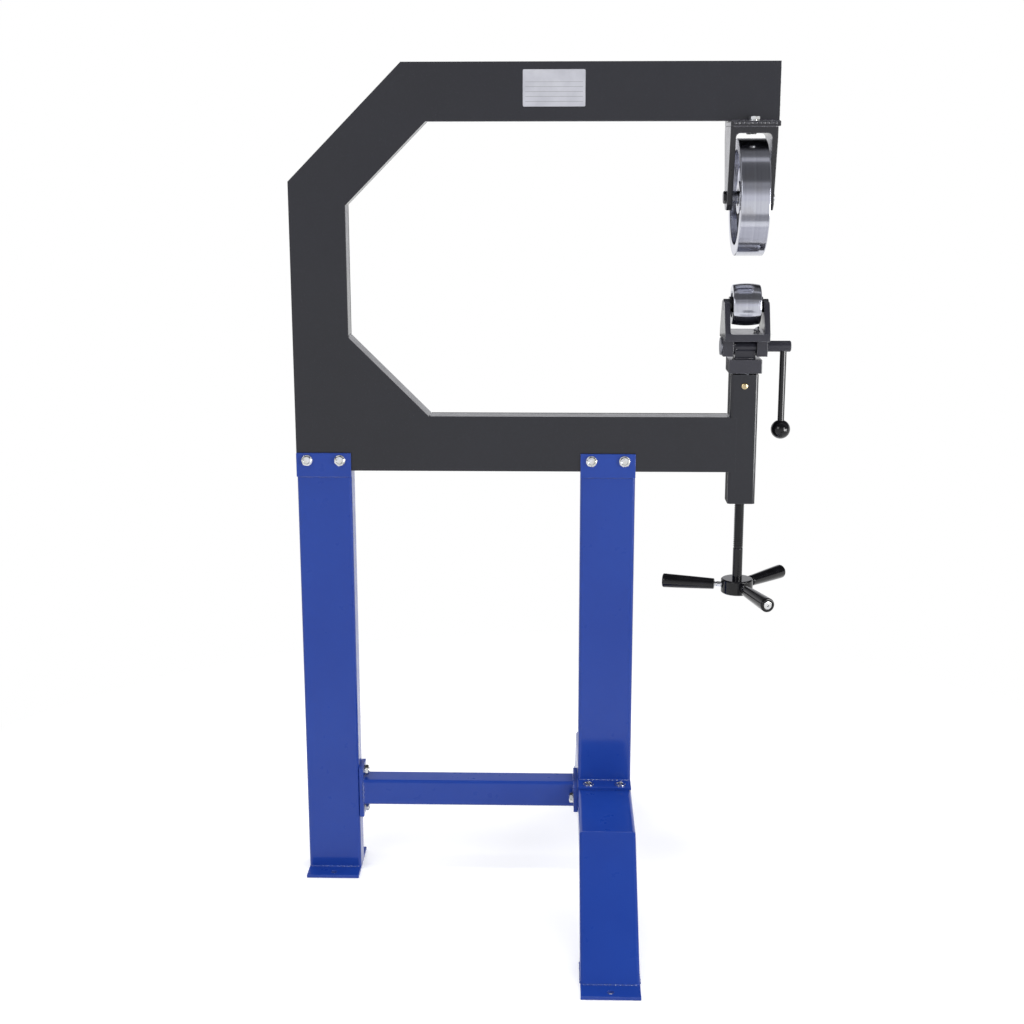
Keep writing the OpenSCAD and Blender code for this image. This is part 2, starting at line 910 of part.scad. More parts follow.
module flat_washers() {
    color(zinc) {
        at_joint_bolts()
            for (side = [0, 1])
                mirror([0, side, 0])
                    translate([0, -joint_half, 0])
                        rotate([90, 0, 0])
                            washer();
        at_yoke_bolts()
            translate([0, 0, top_arm_z])
                washer();
        at_flange_bolts()
            translate([0, 0, front_leg_z])
                washer();
        at_bar_bolts()
            washer();
    }
}

module hex_nuts() {
    color(zinc) {
        at_joint_bolts()
            translate([0, joint_half + washer_t, 0])
                rotate([-90, 0, 0])
                    hex_nut();
    }
}

// Nuts welded inside the cross foot and the column leg
module weld_nuts() {
    color(dark_steel) {
        at_flange_bolts()
            translate([0, 0, cross_top - leg_wall - nut_h])
                hex_nut();
        at_bar_bolts()
            translate([0, 0, -bar_plate_t - leg_wall - nut_h])
                hex_nut();
    }
}

// Slide
module slide_bar() {
    key_low = guide_z - travel - guide_d;
    color(dark_steel)
        difference() {
            union() {
                translate([wheel_x, 0, slide_z])
                    linear_extrude(slide_len - post_gap - neck_in)
                        round_rect(slide_w, slide_w, post_in_r);
                translate([wheel_x, 0, head_z - post_gap - neck_in])
                    cylinder(d = neck_d, h = post_gap + neck_in);
            }
            translate([wheel_x, 0, slide_z - eps])
                cylinder(r = spigot_d / 2 + run_gap, h = spigot_len + 2 * eps);
            translate([wheel_x - guide_d / 2 - side_gap, -slide_w / 2 - eps, key_low])
                cube([guide_d + 2 * side_gap, key_depth + eps, guide_z + guide_d - key_low]);
        }
}

module slide_head() {
    color(dark_steel)
        difference() {
            translate([wheel_x, 0, head_z])
                linear_extrude(head_block_h)
                    round_rect(head_block_x, head_block_y, 2);
            at_guide_pins()
                translate([0, 0, head_top - pin_seat])
                    cylinder(r = pin_d / 2 + run_gap, h = pin_seat + eps);
        }
}

module at_guide_pins() {
    for (side = [-1, 1])
        translate([wheel_x + side * pin_x, pin_y, 0])
            children();
}

module guide_pins() {
    color(steel)
        at_guide_pins()
            translate([0, 0, head_top - pin_seat])
                cylinder(d = pin_d, h = pin_seat + yoke_up + pin_in_yoke);
}

// The knuckle is a sleeve on a saddle, with a level slot that the eccentric works in
module release_knuckle() {
    color(dark_steel)
        translate([wheel_x, 0, knuckle_z])
            difference() {
                union() {
                    rod_x_axis(knuckle_d, -knuckle_w / 2, knuckle_w / 2);
                    translate([-knuckle_w / 2 + knuckle_shoulder, -knuckle_foot_w / 2, -knuckle_up])
                        cube([knuckle_w - 2 * knuckle_shoulder, knuckle_foot_w, knuckle_up]);
                }
                translate([-knuckle_w / 2 - eps, -slot_half_w, -slot_half_h])
                    cube([knuckle_w + 2 * eps, 2 * slot_half_w, 2 * slot_half_h]);
            }
}

module thrust_washer() {
    color(steel)
        translate([wheel_x, 0, screw_top])
            difference() {
                cylinder(d = thrust_d, h = thrust_t);
                translate([0, 0, -eps])
                    cylinder(r = spigot_d / 2 + run_gap, h = thrust_t + 2 * eps);
            }
}

// Anvil yoke
module anvil_yoke_front() {
    height = anvil_z + fork_above_axle - fork_z;
    bend = yoke_bend_r / 2;
    difference() {
        translate([-fork_w / 2, 0])
            square([fork_w, height]);
        translate([-fork_gap / 2, fork_floor_t + bend])
            square([fork_gap, height]);
        translate([-fork_gap / 2 + bend, fork_floor_t])
            square([fork_gap - 2 * bend, height]);
        for (side = [-1, 1])
            translate([side * (fork_gap / 2 - bend), fork_floor_t + bend])
                circle(bend);
    }
}

module anvil_yoke_side() {
    low = fork_low_w / 2;
    top = fork_top_w / 2;
    height = anvil_z + fork_above_axle - fork_z;
    corner = 5;
    polygon([[-low, 0], [low, 0], [low, fork_floor_t], [top, height - corner], [top - corner, height],
        [-top + corner, height], [-top, height - corner], [-low, fork_floor_t]]);
}

module retaining_bore() {
    translate([wheel_x + retain_x, 0, shaft_z + journal_d / 2])
        rotate([0, -retain_tilt, 0])
            children();
}

module anvil_yoke() {
    slot_r = anvil_axle_d / 2 + run_gap;
    color(dark_steel)
        difference() {
            translate([wheel_x, 0, fork_z])
                intersection() {
                    rotate([90, 0, 0])
                        linear_extrude(fork_low_w, center = true)
                            anvil_yoke_front();
                    rotate([90, 0, 90])
                        linear_extrude(fork_w, center = true)
                            anvil_yoke_side();
                }
            translate([wheel_x, 0, anvil_z]) {
                rod_x_axis(2 * slot_r, -fork_w, fork_w);
                translate([-fork_w, -slot_r, 0])
                    cube([2 * fork_w, 2 * slot_r, anvil_axle_d]);
            }
            at_guide_pins()
                translate([0, 0, fork_z - eps])
                    cylinder(r = pin_d / 2 + run_gap, h = pin_in_yoke + release + side_gap + eps);
            retaining_bore()
                cylinder(r = retain_d / 2 + run_gap, h = retain_len + head_h);
        }
}

// An ear seen from the side: round below the shaft, flat where it meets the yoke
module ear_profile() {
    up = fork_z - shaft_z;
    difference() {
        union() {
            circle(ear_r);
            translate([-ear_r, 0])
                square([2 * ear_r, up]);
        }
        translate([-ear_r - eps, up])
            square([2 * ear_r + 2 * eps, ear_r]);
    }
}

module yoke_ears() {
    color(dark_steel)
        difference() {
            translate([wheel_x, 0, shaft_z])
                for (side = [0, 1])
                    mirror([side, 0, 0])
                        translate([ear_in, 0, 0])
                            rotate([90, 0, 90])
                                linear_extrude(ear_t)
                                    ear_profile();
            translate([wheel_x, 0, shaft_z])
                rod_x_axis(journal_d + 2 * run_gap, -fork_w, fork_w);
            retaining_bore()
                cylinder(r = retain_d / 2 + run_gap, h = retain_len);
        }
}

// The bolt whose tip rubs on the shaft, keeps it in and holds the lever where it is put
module retaining_bolt() {
    color(dark_steel)
        retaining_bore()
            translate([0, 0, retain_d / 2 * tan(retain_tilt) + side_gap]) {
                cylinder(d = retain_d, h = retain_len);
                translate([0, 0, retain_len])
                    hexagon(retain_af, retain_head_h);
            }
}

// Quick-release lever
module eccentric_shaft() {
    chamfer = 1.5;
    offset_y = -ecc_throw * cos(45);
    offset_z = -ecc_throw * sin(45);
    color(dark_steel)
        translate([wheel_x, 0, shaft_z])
            difference() {
                union() {
                    rod_x_axis(journal_d, -fork_w / 2 - side_gap, -ear_in);
                    translate([0, offset_y, offset_z])
                        rod_x_axis(ecc_d, -ear_in, ear_in);
                    rod_x_axis(journal_d, ear_in, fork_w / 2 + side_gap);
                    rod_x_axis(lever_hub_d, fork_w / 2 + side_gap, fork_w / 2 + lever_hub_len - chamfer);
                    translate([fork_w / 2 + lever_hub_len - chamfer, 0, 0])
                        rotate([0, 90, 0])
                            cylinder(d1 = lever_hub_d, d2 = lever_hub_d - 2 * chamfer, h = chamfer);
                }
                translate([rod_x, 0, -lever_hub_d])
                    cylinder(r = rod_d / 2 + run_gap, h = lever_hub_d);
            }
}

module shaft_end_washer() {
    color(dark_steel)
        translate([wheel_x, 0, shaft_z])
            rod_x_axis(end_washer_d, -fork_w / 2 - side_gap - end_washer_t, -fork_w / 2 - side_gap);
}

module lever_rod() {
    in_knob = knob_d / 4;
    color(black)
        translate([wheel_x + rod_x, 0, shaft_z - lever_len + in_knob])
            cylinder(d = rod_d, h = lever_len - in_knob);
}

module lever_knob() {
    in_knob = knob_d / 4;
    color(black)
        translate([wheel_x + rod_x, 0, shaft_z - lever_len])
            difference() {
                sphere(d = knob_d);
                translate([0, 0, in_knob])
                    cylinder(r = rod_d / 2 + run_gap, h = knob_d);
            }
}

// Anvil wheel
module anvil_wheel() {
    seat = anvil_brg_d / 2 + run_gap;
    edge = 2;
    half = wheel_w / 2;
    dish = 3;
    color(steel)
        translate([wheel_x, 0, anvil_z])
            rotate([0, 90, 0])
                rotate_extrude()
                    difference() {
                        intersection() {
                            translate([anvil_r - crown_r, 0])
                                circle(crown_r, $fn = 360);
                            translate([0, -half])
                                square([anvil_r, wheel_w]);
                        }
                        translate([-eps, -wheel_w])
                            square([seat - spacer_wall + eps, 2 * wheel_w]);
                        for (z = [-half - eps, half - anvil_brg_w - dish])
                            translate([-eps, z])
                                square([seat + eps, anvil_brg_w + dish + eps]);
                        for (z = [-half - eps, half - dish])
                            translate([seat - eps, z])
                                square([edge + 2 * eps, dish + eps]);
                    }
}

module anvil_bearings() {
    dish = 3;
    color(steel)
        translate([wheel_x, 0, anvil_z])
            for (side = [0, 1])
                mirror([side, 0, 0])
                    ring_x_axis(anvil_brg_d, anvil_axle_d + 2 * run_gap,
                        wheel_w / 2 - dish - anvil_brg_w, wheel_w / 2 - dish);
}

module anvil_axle() {
    color(dark_steel)
        translate([wheel_x, 0, anvil_z])
            rod_x_axis(anvil_axle_d, -fork_w / 2, fork_w / 2);
}

module anvil_spacers() {
    dish = 3;
    color(black)
        translate([wheel_x, 0, anvil_z])
            for (side = [0, 1])
                mirror([side, 0, 0])
                    ring_x_axis(anvil_axle_d + 2 * spacer_wall, anvil_axle_d + 2 * run_gap,
                        wheel_w / 2 - dish, fork_gap / 2);
}

// Screw and handwheel
module lift_screw() {
    color(black)
        translate([wheel_x, 0, 0]) {
            translate([0, 0, screw_top])
                cylinder(d = spigot_d, h = thrust_t + spigot_len);
            translate([0, 0, hand_hub_top + shank_len])
                cylinder(d = screw_d, h = screw_top - hand_hub_top - shank_len);
            translate([0, 0, hand_hub_z])
                cylinder(d = shank_d, h = hand_hub_h + shank_len);
        }
}

module at_grips() {
    for (a = grip_angles)
        translate([wheel_x, 0, grip_z])
            rotate([0, 0, a])
                rotate([0, 90, 0])
                    children();
}

module handwheel_hub() {
    edge = 2;
    color(black)
        difference() {
            translate([wheel_x, 0, hand_hub_z])
                rotate_extrude()
                    difference() {
                        polygon([[0, 0], [hand_hub_d / 2 - edge, 0], [hand_hub_d / 2, edge],
                            [hand_hub_d / 2, hand_hub_h - edge], [hand_hub_d / 2 - edge, hand_hub_h],
                            [0, hand_hub_h]]);
                        translate([-eps, -eps])
                            square([shank_d / 2 + run_gap + eps, hand_hub_h + 2 * eps]);
                    }
            at_grips()
                translate([0, 0, hand_hub_d / 2 - stud_in_hub])
                    cylinder(r = stud_d / 2 + run_gap, h = stud_in_hub + eps);
        }
}

// Each spindle: a stud in the hub, a slimmer stem through the grip and a flat head in its end
module grip_spindles() {
    color(zinc)
        at_grips() {
            translate([0, 0, hand_hub_d / 2 - stud_in_hub])
                cylinder(d = stud_d, h = grip_start - side_gap - hand_hub_d / 2 + stud_in_hub);
            translate([0, 0, grip_start - side_gap - eps])
                cylinder(d = spindle_d, h = grip_len + side_gap + eps - spindle_head_h);
            translate([0, 0, grip_reach - spindle_head_h])
                cylinder(d = spindle_head_d, h = spindle_head_h);
        }
}

module grip(a) {
    bore = spindle_d / 2 + run_gap;
    pocket = spindle_head_d / 2 + side_gap;
    inner = grip_in_d / 2;
    outer = grip_out_d / 2;
    color(black)
        translate([wheel_x, 0, grip_z])
            rotate([0, 0, a])
                rotate([0, 90, 0])
                    translate([0, 0, grip_start])
                        rotate_extrude()
                            difference() {
                                union() {
                                    polygon([[0, 0], [inner - grip_edge, 0], [inner, grip_edge],
                                        [outer, grip_len - grip_edge], [outer - grip_edge, grip_len],
                                        [0, grip_len]]);
                                    translate([outer - grip_edge, grip_len - grip_edge])
                                        circle(grip_edge);
                                    translate([inner - grip_edge, grip_edge])
                                        circle(grip_edge);
                                }
                                translate([-eps, -eps])
                                    square([bore + eps, grip_len + 2 * eps]);
                                translate([-eps, grip_len - spindle_head_h - side_gap])
                                    square([pocket + eps, spindle_head_h + side_gap + eps]);
                            }
}

module grip_1() { grip(grip_angles[0]); }
module grip_2() { grip(grip_angles[1]); }
module grip_3() { grip(grip_angles[2]); }

frame_top_arm();
frame_upper_diagonal();
frame_column();
frame_lower_arm();
frame_gusset();
frame_arm_cap();
slide_post();
post_nut();
guide_screw();
wheel_mount_plate();
upper_yoke();
upper_axle();
upper_spacers();
upper_wheel();
upper_bearings();
column_leg();
column_foot_plate();
column_joint_plates();
front_leg();
front_joint_plates();
front_leg_flange();
cross_foot_beam();
cross_foot_front();
cross_foot_rear();
cross_foot_plate_front();
cross_foot_plate_rear();
crossbar();
crossbar_plate_rear();
crossbar_plate_front();
joint_bolts();
yoke_bolts();
stand_bolts();
flat_washers();
hex_nuts();
weld_nuts();
slide_bar();
slide_head();
release_knuckle();
guide_pins();
thrust_washer();
anvil_yoke();
yoke_ears();
retaining_bolt();
eccentric_shaft();
shaft_end_washer();
lever_rod();
lever_knob();
anvil_wheel();
anvil_bearings();
anvil_axle();
anvil_spacers();
lift_screw();
handwheel_hub();
grip_spindles();
grip_1();
grip_2();
grip_3();
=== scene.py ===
"""A floor-standing english wheel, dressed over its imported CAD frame.

Every length in a profile is in millimetres, and every place in the scene is in metres.
"""

import json
import logging
import math
from abc import ABC, abstractmethod
from dataclasses import dataclass, field
from enum import Enum
from functools import lru_cache
from typing import Iterable, Sequence, Union

import bmesh
import bpy
from mathutils import Matrix, Vector, noise

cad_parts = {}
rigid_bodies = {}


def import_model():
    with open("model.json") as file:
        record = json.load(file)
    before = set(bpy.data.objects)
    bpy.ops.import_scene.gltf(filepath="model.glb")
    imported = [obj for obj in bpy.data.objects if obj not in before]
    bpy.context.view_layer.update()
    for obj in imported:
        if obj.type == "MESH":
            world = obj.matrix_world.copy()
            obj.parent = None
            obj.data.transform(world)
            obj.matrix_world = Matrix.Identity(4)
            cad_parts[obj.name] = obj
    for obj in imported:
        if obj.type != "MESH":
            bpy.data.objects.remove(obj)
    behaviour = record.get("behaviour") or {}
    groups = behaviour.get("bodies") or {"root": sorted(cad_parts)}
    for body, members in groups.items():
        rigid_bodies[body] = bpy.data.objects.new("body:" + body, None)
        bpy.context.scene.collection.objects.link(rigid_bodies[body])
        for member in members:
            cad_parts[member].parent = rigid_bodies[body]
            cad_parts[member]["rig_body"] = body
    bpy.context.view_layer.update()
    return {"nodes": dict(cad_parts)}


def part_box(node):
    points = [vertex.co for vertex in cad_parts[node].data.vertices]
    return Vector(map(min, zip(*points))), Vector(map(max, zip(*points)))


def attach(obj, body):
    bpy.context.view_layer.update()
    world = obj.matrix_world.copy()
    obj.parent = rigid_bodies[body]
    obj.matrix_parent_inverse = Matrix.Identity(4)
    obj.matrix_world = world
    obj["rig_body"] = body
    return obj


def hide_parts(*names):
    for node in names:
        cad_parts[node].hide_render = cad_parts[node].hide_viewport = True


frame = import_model()

MM = 0.001
CAD_JOIN = 0.000004
JOIN = 0.0000008
SAW = 0.0000005
RUNNING_GAP = 0.06
COS_30 = math.cos(math.pi / 6)
PICTURE = 1024
SENSOR = 36.0
WHITE = (1, 1, 1, 1)
LOG = logging.getLogger("english_wheel")
Socket = Union[bpy.types.NodeSocket, float, Sequence[float]]
Point = Sequence[float]


class Body(Enum):
    """The bodies that pieces without a CAD node of their own ride on."""

    FRAME = "frame"
    UPPER_WHEEL = "upper_wheel"
    SLIDE = "slide"
    ANVIL_YOKE = "anvil_yoke"
    ANVIL = "anvil"


class Slot(Enum):
    """The record's material slots."""

    FRAME_PAINT = "frame_paint"
    STAND_PAINT = "stand_paint"
    DARK_STEEL = "dark_steel"
    BLACK_STEEL = "black_steel"
    GROUND_STEEL = "ground_steel"
    PLAIN_STEEL = "plain_steel"
    ZINC_PLATE = "zinc_plate"
    BRASS = "brass"
    BLACK_PLASTIC = "black_plastic"


class Way(Enum):
    """The ways in which a turned piece's own axis can point."""

    RIGHT = (1, 0, 0)
    LEFT = (-1, 0, 0)
    FRONT = (0, -1, 0)
    UP = (0, 0, 1)


def along(centre: Point, way: Union[Way, Vector]) -> Matrix:
    """Gives the placing that stands a piece's own Z axis on a point.

    Args:
        centre: Where the piece's own origin goes, in metres.
        way: Where its Z axis points.

    Returns:
        The placing matrix.
    """
    axis = Vector(way.value) if isinstance(way, Way) else Vector(way)
    return Matrix.Translation(Vector(centre)) @ axis.to_track_quat("Z", "Y").to_matrix().to_4x4()


def hex_colour(code: str) -> tuple[float, float, float, float]:
    """Turns a written colour into the linear values that a shader takes.

    Args:
        code: The colour, such as #3a3b41.

    Returns:
        Its red, green, blue and opacity.
    """
    parts = [int(code[i:i + 2], 16) / 255 for i in (1, 3, 5)]
    linear = [p / 12.92 if p <= 0.04045 else ((p + 0.055) / 1.055) ** 2.4 for p in parts]
    return (linear[0], linear[1], linear[2], 1.0)


@dataclass(frozen=True)
class Seat:
    """The space that a CAD node takes at rest, in metres.

    Args:
        low: Its lowest corner.
        high: Its highest corner.
    """

    low: Vector
    high: Vector

    @classmethod
    def of(cls, node: str) -> "Seat":
        """Reads a node's seat from the frame."""
        return cls(*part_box(node))

    @property
    def centre(self) -> Vector:
        """The middle of the seat."""
        return (self.low + self.high) / 2

    @property
    def size(self) -> Vector:
        """The seat's three sides."""
        return self.high - self.low

    @property
    def radius(self) -> float:
        """Half its height, in millimetres, for a round piece that lies across the frame."""
        return self.size.z / 2 / MM

    def middle(self, x: float | None = None, z: float | None = None) -> Vector:
        """Gives the middle of the seat, or a point level with it at the x or z given."""
        return Vector((self.centre.x if x is None else x, self.centre.y, self.centre.z if z is None else z))


# Finishes


class Wiring:
    """A node tree under construction."""

    def __init__(self, owner: Union[bpy.types.Material, bpy.types.World]) -> None:
        """Starts with an empty tree.

        Args:
            owner: The material or world that the tree belongs to.
        """
        owner.use_nodes = True
        self.tree = owner.node_tree
        self.tree.nodes.clear()

    def node(self, kind: str, inputs: dict | None = None, **settings: object) -> bpy.types.Node:
        """Adds a node.

        Args:
            kind: Blender's name for the node.
            inputs: A value or another node's output for each socket, by name or index.
            **settings: The node's own properties.

        Returns:
            The new node.
        """
        node = self.tree.nodes.new(kind)
        for key, value in settings.items():
            setattr(node, key, value)
        for key, value in (inputs or {}).items():
            if isinstance(value, bpy.types.NodeSocket):
                self.tree.links.new(value, node.inputs[key])
            else:
                node.inputs[key].default_value = value
        return node

    def sum(self, operation: str, first: Socket, second: Socket = 0.0) -> Socket:
        """Works out one step of arithmetic."""
        return self.node("ShaderNodeMath", {0: first, 1: second}, operation=operation).outputs[0]


class Recipe(Wiring):
    """One material under construction, with the node groups that the finishes share."""

    def __init__(self, name: str) -> None:
        """Starts a material that holds only a Principled shader.

        Args:
            name: The material's name.
        """
        self.material = bpy.data.materials.new(name)
        super().__init__(self.material)
        self.shader = self.node("ShaderNodeBsdfPrincipled")
        self.output = self.node("ShaderNodeOutputMaterial", {"Surface": self.shader.outputs["BSDF"]})

    def place(self, centre: Point = (0, 0, 0), stretch: Point = (1, 1, 1)) -> Socket:
        """Gives Object coordinates measured from a centre.

        Args:
            centre: The pattern's middle, in metres.
            stretch: How much finer the pattern is along each axis.

        Returns:
            The vector socket.
        """
        where = self.node("ShaderNodeTexCoord").outputs["Object"]
        moved = self.node("ShaderNodeMapping", {"Vector": where, "Location": [-c for c in centre]})
        scaled = self.node("ShaderNodeMapping", {"Vector": moved.outputs[0], "Scale": list(stretch)})
        return scaled.outputs[0]

    def cloud(self, scale: float, detail: float = 2, where: Socket | None = None) -> Socket:
        """Gives a soft noise in space, from 0 to 1."""
        inputs = {"Vector": where or self.place(), "Scale": scale, "Detail": detail, "Roughness": 0.55}
        return self.node("ShaderNodeTexNoise", inputs).outputs[0]

    def lines(self, along_value: Socket, scale: float, detail: float = 3) -> Socket:
        """Gives noise that varies along one value only, as tool marks do."""
        inputs = {"W": along_value, "Scale": scale, "Detail": detail, "Roughness": 0.6}
        return self.node("ShaderNodeTexNoise", inputs, noise_dimensions="1D").outputs[0]

    def spread(self, value: Socket, low: float, high: float, to: Point = (0, 1)) -> Socket:
        """Stretches a value's range low..high to another, and clamps it there."""
        inputs = {"Value": value, "From Min": low, "From Max": high, "To Min": to[0], "To Max": to[1]}
        return self.node("ShaderNodeMapRange", inputs).outputs[0]

    def blend(self, share: Socket, first: Socket, second: Socket) -> Socket:
        """Mixes two colours by a share from 0 to 1."""
        node = self.node("ShaderNodeMix", {0: share, 6: first, 7: second}, data_type="RGBA")
        return node.outputs[2]

    def corners(self, radius: float) -> Socket:
        """Gives 1 at edges and 0 on open faces.

        Args:
            radius: How far an edge reaches, in metres.

        Returns:
            The value socket.
        """
        soft = self.node("ShaderNodeBevel", {"Radius": radius}, samples=4).outputs[0]
        true = self.node("ShaderNodeNewGeometry").outputs["Normal"]
        dot = self.node("ShaderNodeVectorMath", {0: soft, 1: true}, operation="DOT_PRODUCT").outputs["Value"]
        return self.spread(dot, 0.99, 0.80)

    def bump(self, height: Socket, depth: float, under: Socket | None = None) -> Socket:
        """Raises a height.

        Args:
            height: The height, from 0 to 1.
            depth: What 1 stands for, in metres.
            under: Another bump that it lies on.

        Returns:
            The normal socket.
        """
        inputs = {"Height": height, "Strength": 1.0, "Distance": depth}
        if under is not None:
            inputs["Normal"] = under
        return self.node("ShaderNodeBump", inputs).outputs[0]

    def set(self, **sockets: Socket) -> None:
        """Sets the shader's sockets.

        Args:
            **sockets: Each socket's value or source, with the spaces of its name written as underscores.
        """
        for name, value in sockets.items():
            socket = self.shader.inputs[name.replace("_", " ")]
            if isinstance(value, bpy.types.NodeSocket):
                self.tree.links.new(value, socket)
            else:
                socket.default_value = value

    def stage(self, piece: bpy.types.Object, surface: Socket) -> None:
        """Puts a surface in the shader's place, and the material on a piece of the studio.

        Args:
            piece: The floor or a card.
            surface: The surface that it shows.
        """
        self.tree.nodes.remove(self.shader)
        self.tree.links.new(surface, self.output.inputs["Surface"])
        piece.data.materials.append(self.material)


@dataclass(frozen=True)
class Finish(ABC):
    """What a piece is dressed in.

    Args:
        name: The material's name.
        slot: The record's slot that it belongs to.
    """

    name: str
    slot: Slot

    @lru_cache(maxsize=None)
    def material(self) -> bpy.types.Material:
        """Makes the material, once for all the pieces that share it.

        Returns:
            The material.
        """
        recipe = Recipe(self.name)
        self.mix(recipe)
        return recipe.material

    @abstractmethod
    def mix(self, recipe: Recipe) -> None:
        """Sets up the nodes.

        Args:
            recipe: The material, still bare.
        """


@dataclass(frozen=True)
class PowderCoat(Finish):
    """Baked powder paint: one tone that drifts a little, orange peel, and edges that catch the light.

    Args:
        colour: The paint's tone.
        shade: The tone that it drifts to.
        worn_and_glint_tone: The tone at edges, where the coat is thin and where a painted highlight stands
            in for the light the edges catch, and the tone of the pale specks.
        roughness: How dull it is.
        gloss: The share of clear gloss over the paint.
        peel: The depth of the orange peel, in metres.
        grain: The peel's scale per metre.
        wear_and_glint: How much the edges show, as rubbed paint and as a painted highlight.
        specks: How much fine dust and pinholes show, as pale specks that are also painted glints on the
            orange peel.
        sheen: How strongly the paint itself mirrors, where 0.5 is plain plastic.
    """

    colour: str
    shade: str
    worn_and_glint_tone: str
    roughness: float = 0.38
    gloss: float = 0.2
    peel: float = 0.00006
    grain: float = 420.0
    wear_and_glint: float = 0.5
    specks: float = 0.25
    sheen: float = 0.15

    def mix(self, recipe: Recipe) -> None:
        """Mixes the paint.

        Args:
            recipe: The material, still bare.
        """
        drift = recipe.spread(recipe.cloud(5.0, 4), 0.35, 0.68)
        streak = recipe.spread(recipe.cloud(9.0, 3, recipe.place(stretch=(3, 3, 0.35))), 0.4, 0.7, (0, 0.25))
        tone = recipe.blend(recipe.sum("MAXIMUM", recipe.sum("MULTIPLY", drift, 0.5), streak),
                            hex_colour(self.colour), hex_colour(self.shade))
        # Pale specks: fine dust, and painted glints of light on the orange peel.
        dust_and_sparkle = recipe.spread(recipe.cloud(900.0, 1), 0.70, 0.78, (0, self.specks))
        tone = recipe.blend(dust_and_sparkle, tone, hex_colour(self.worn_and_glint_tone))
        # Paler edges: partly rubbed paint, partly a painted highlight where edges catch the light.
        edge_patches = recipe.spread(recipe.cloud(60.0, 4), 0.35, 0.6, (0.3, 1))
        edge = recipe.sum("MULTIPLY", recipe.corners(0.0016), edge_patches)
        tone = recipe.blend(recipe.sum("MULTIPLY", edge, self.wear_and_glint), tone, hex_colour(self.worn_and_glint_tone))
        dull = recipe.spread(recipe.cloud(35.0, 5), 0.3, 0.7, (self.roughness - 0.06, self.roughness + 0.08))
        broad = recipe.bump(recipe.cloud(self.grain / 5, 2), self.peel * 1.6)
        skin = recipe.bump(recipe.cloud(self.grain, 3), self.peel, broad)
        recipe.set(Base_Color=tone, Roughness=dull, Normal=skin, Specular_IOR_Level=self.sheen,
                   Coat_Weight=self.gloss, Coat_Roughness=0.1)


@dataclass(frozen=True)
class TurnedSteel(Finish):
    """Steel turned and ground about an axle that lies across the frame.

    Args:
        centre: A point on the axle, in metres.
        tone: The metal's tone.
        groove: The tone that the coarse tool marks drift to.
        smear: The tone of faint smears.
        roughness: How dull it is.
        marks: The depth of the tool marks, in metres.
    """

    centre: tuple[float, float, float]
    tone: str = "#c3c5cf"
    groove: str = "#9a9ba9"
    smear: str = "#a8a29a"
    roughness: float = 0.13
    marks: float = 0.000003

    def mix(self, recipe: Recipe) -> None:
        """Mixes the steel: rings on the faces, and lines round the tread.

        Args:
            recipe: The material, still bare.
        """
        split = recipe.node("ShaderNodeSeparateXYZ", {0: recipe.place(self.centre)})
        x, y, z = split.outputs[0], split.outputs[1], split.outputs[2]
        squares = recipe.sum("ADD", recipe.sum("MULTIPLY", y, y), recipe.sum("MULTIPLY", z, z))
        reach = recipe.sum("SQRT", squares)
        normal = recipe.node("ShaderNodeSeparateXYZ",
                             {0: recipe.node("ShaderNodeNewGeometry").outputs["Normal"]}).outputs[0]
        face = recipe.spread(recipe.sum("ABSOLUTE", normal), 0.45, 0.7)
        across = recipe.node("ShaderNodeMix", {0: face, 2: x, 3: reach}).outputs[0]
        fine = recipe.lines(across, 1500.0, 4)
        coarse = recipe.lines(across, 190.0, 3)
        smear = recipe.cloud(28.0, 4)
        tone = recipe.blend(recipe.spread(coarse, 0.35, 0.65, (0, 0.25)), hex_colour(self.tone),
                            hex_colour(self.groove))
        tone = recipe.blend(recipe.spread(smear, 0.52, 0.72, (0, 0.3)), tone, hex_colour(self.smear))
        scored = recipe.spread(fine, 0.3, 0.7, (self.roughness - 0.04, self.roughness + 0.05))
        dull = recipe.sum("ADD", scored, recipe.spread(smear, 0.45, 0.75, (0, 0.06)))
        recipe.set(Base_Color=tone, Metallic=1.0, Roughness=dull, Normal=recipe.bump(fine, self.marks))


@dataclass(frozen=True)
class PlainMetal(Finish):
    """Bare or plated metal without a turning axis.

    Args:
        tone: The metal's tone.
        tint: The tone that it drifts to, such as the yellow and blue of plating.
        roughness: How dull it is.
        metallic: 1 for bare metal, less under an oxide film.
        marks: The depth of its marks, in metres.
        grain: The marks' scale per metre.
        bright: The tone at edges, where it is rubbed and where it also stands in as a painted edge
            highlight.
    """

    tone: str
    tint: str
    roughness: float = 0.28
    metallic: float = 1.0
    marks: float = 0.00002
    grain: float = 500.0
    bright: str = "#d8d8dc"

    def mix(self, recipe: Recipe) -> None:
        """Mixes the metal.

        Args:
            recipe: The material, still bare.
        """
        drift = recipe.spread(recipe.cloud(55.0, 4), 0.38, 0.66)
        tone = recipe.blend(drift, hex_colour(self.tone), hex_colour(self.tint))
        spots = recipe.cloud(self.grain, 4)
        dull = recipe.spread(spots, 0.3, 0.75, (max(0.04, self.roughness - 0.08), self.roughness + 0.1))
        # Paler edges: partly rubbed metal, partly a painted edge highlight.
        edge = recipe.sum("MULTIPLY", recipe.corners(0.0008), 0.35)
        tone = recipe.blend(edge, tone, hex_colour(self.bright))
        recipe.set(Base_Color=tone, Metallic=self.metallic, Roughness=dull,
                   Normal=recipe.bump(spots, self.marks))


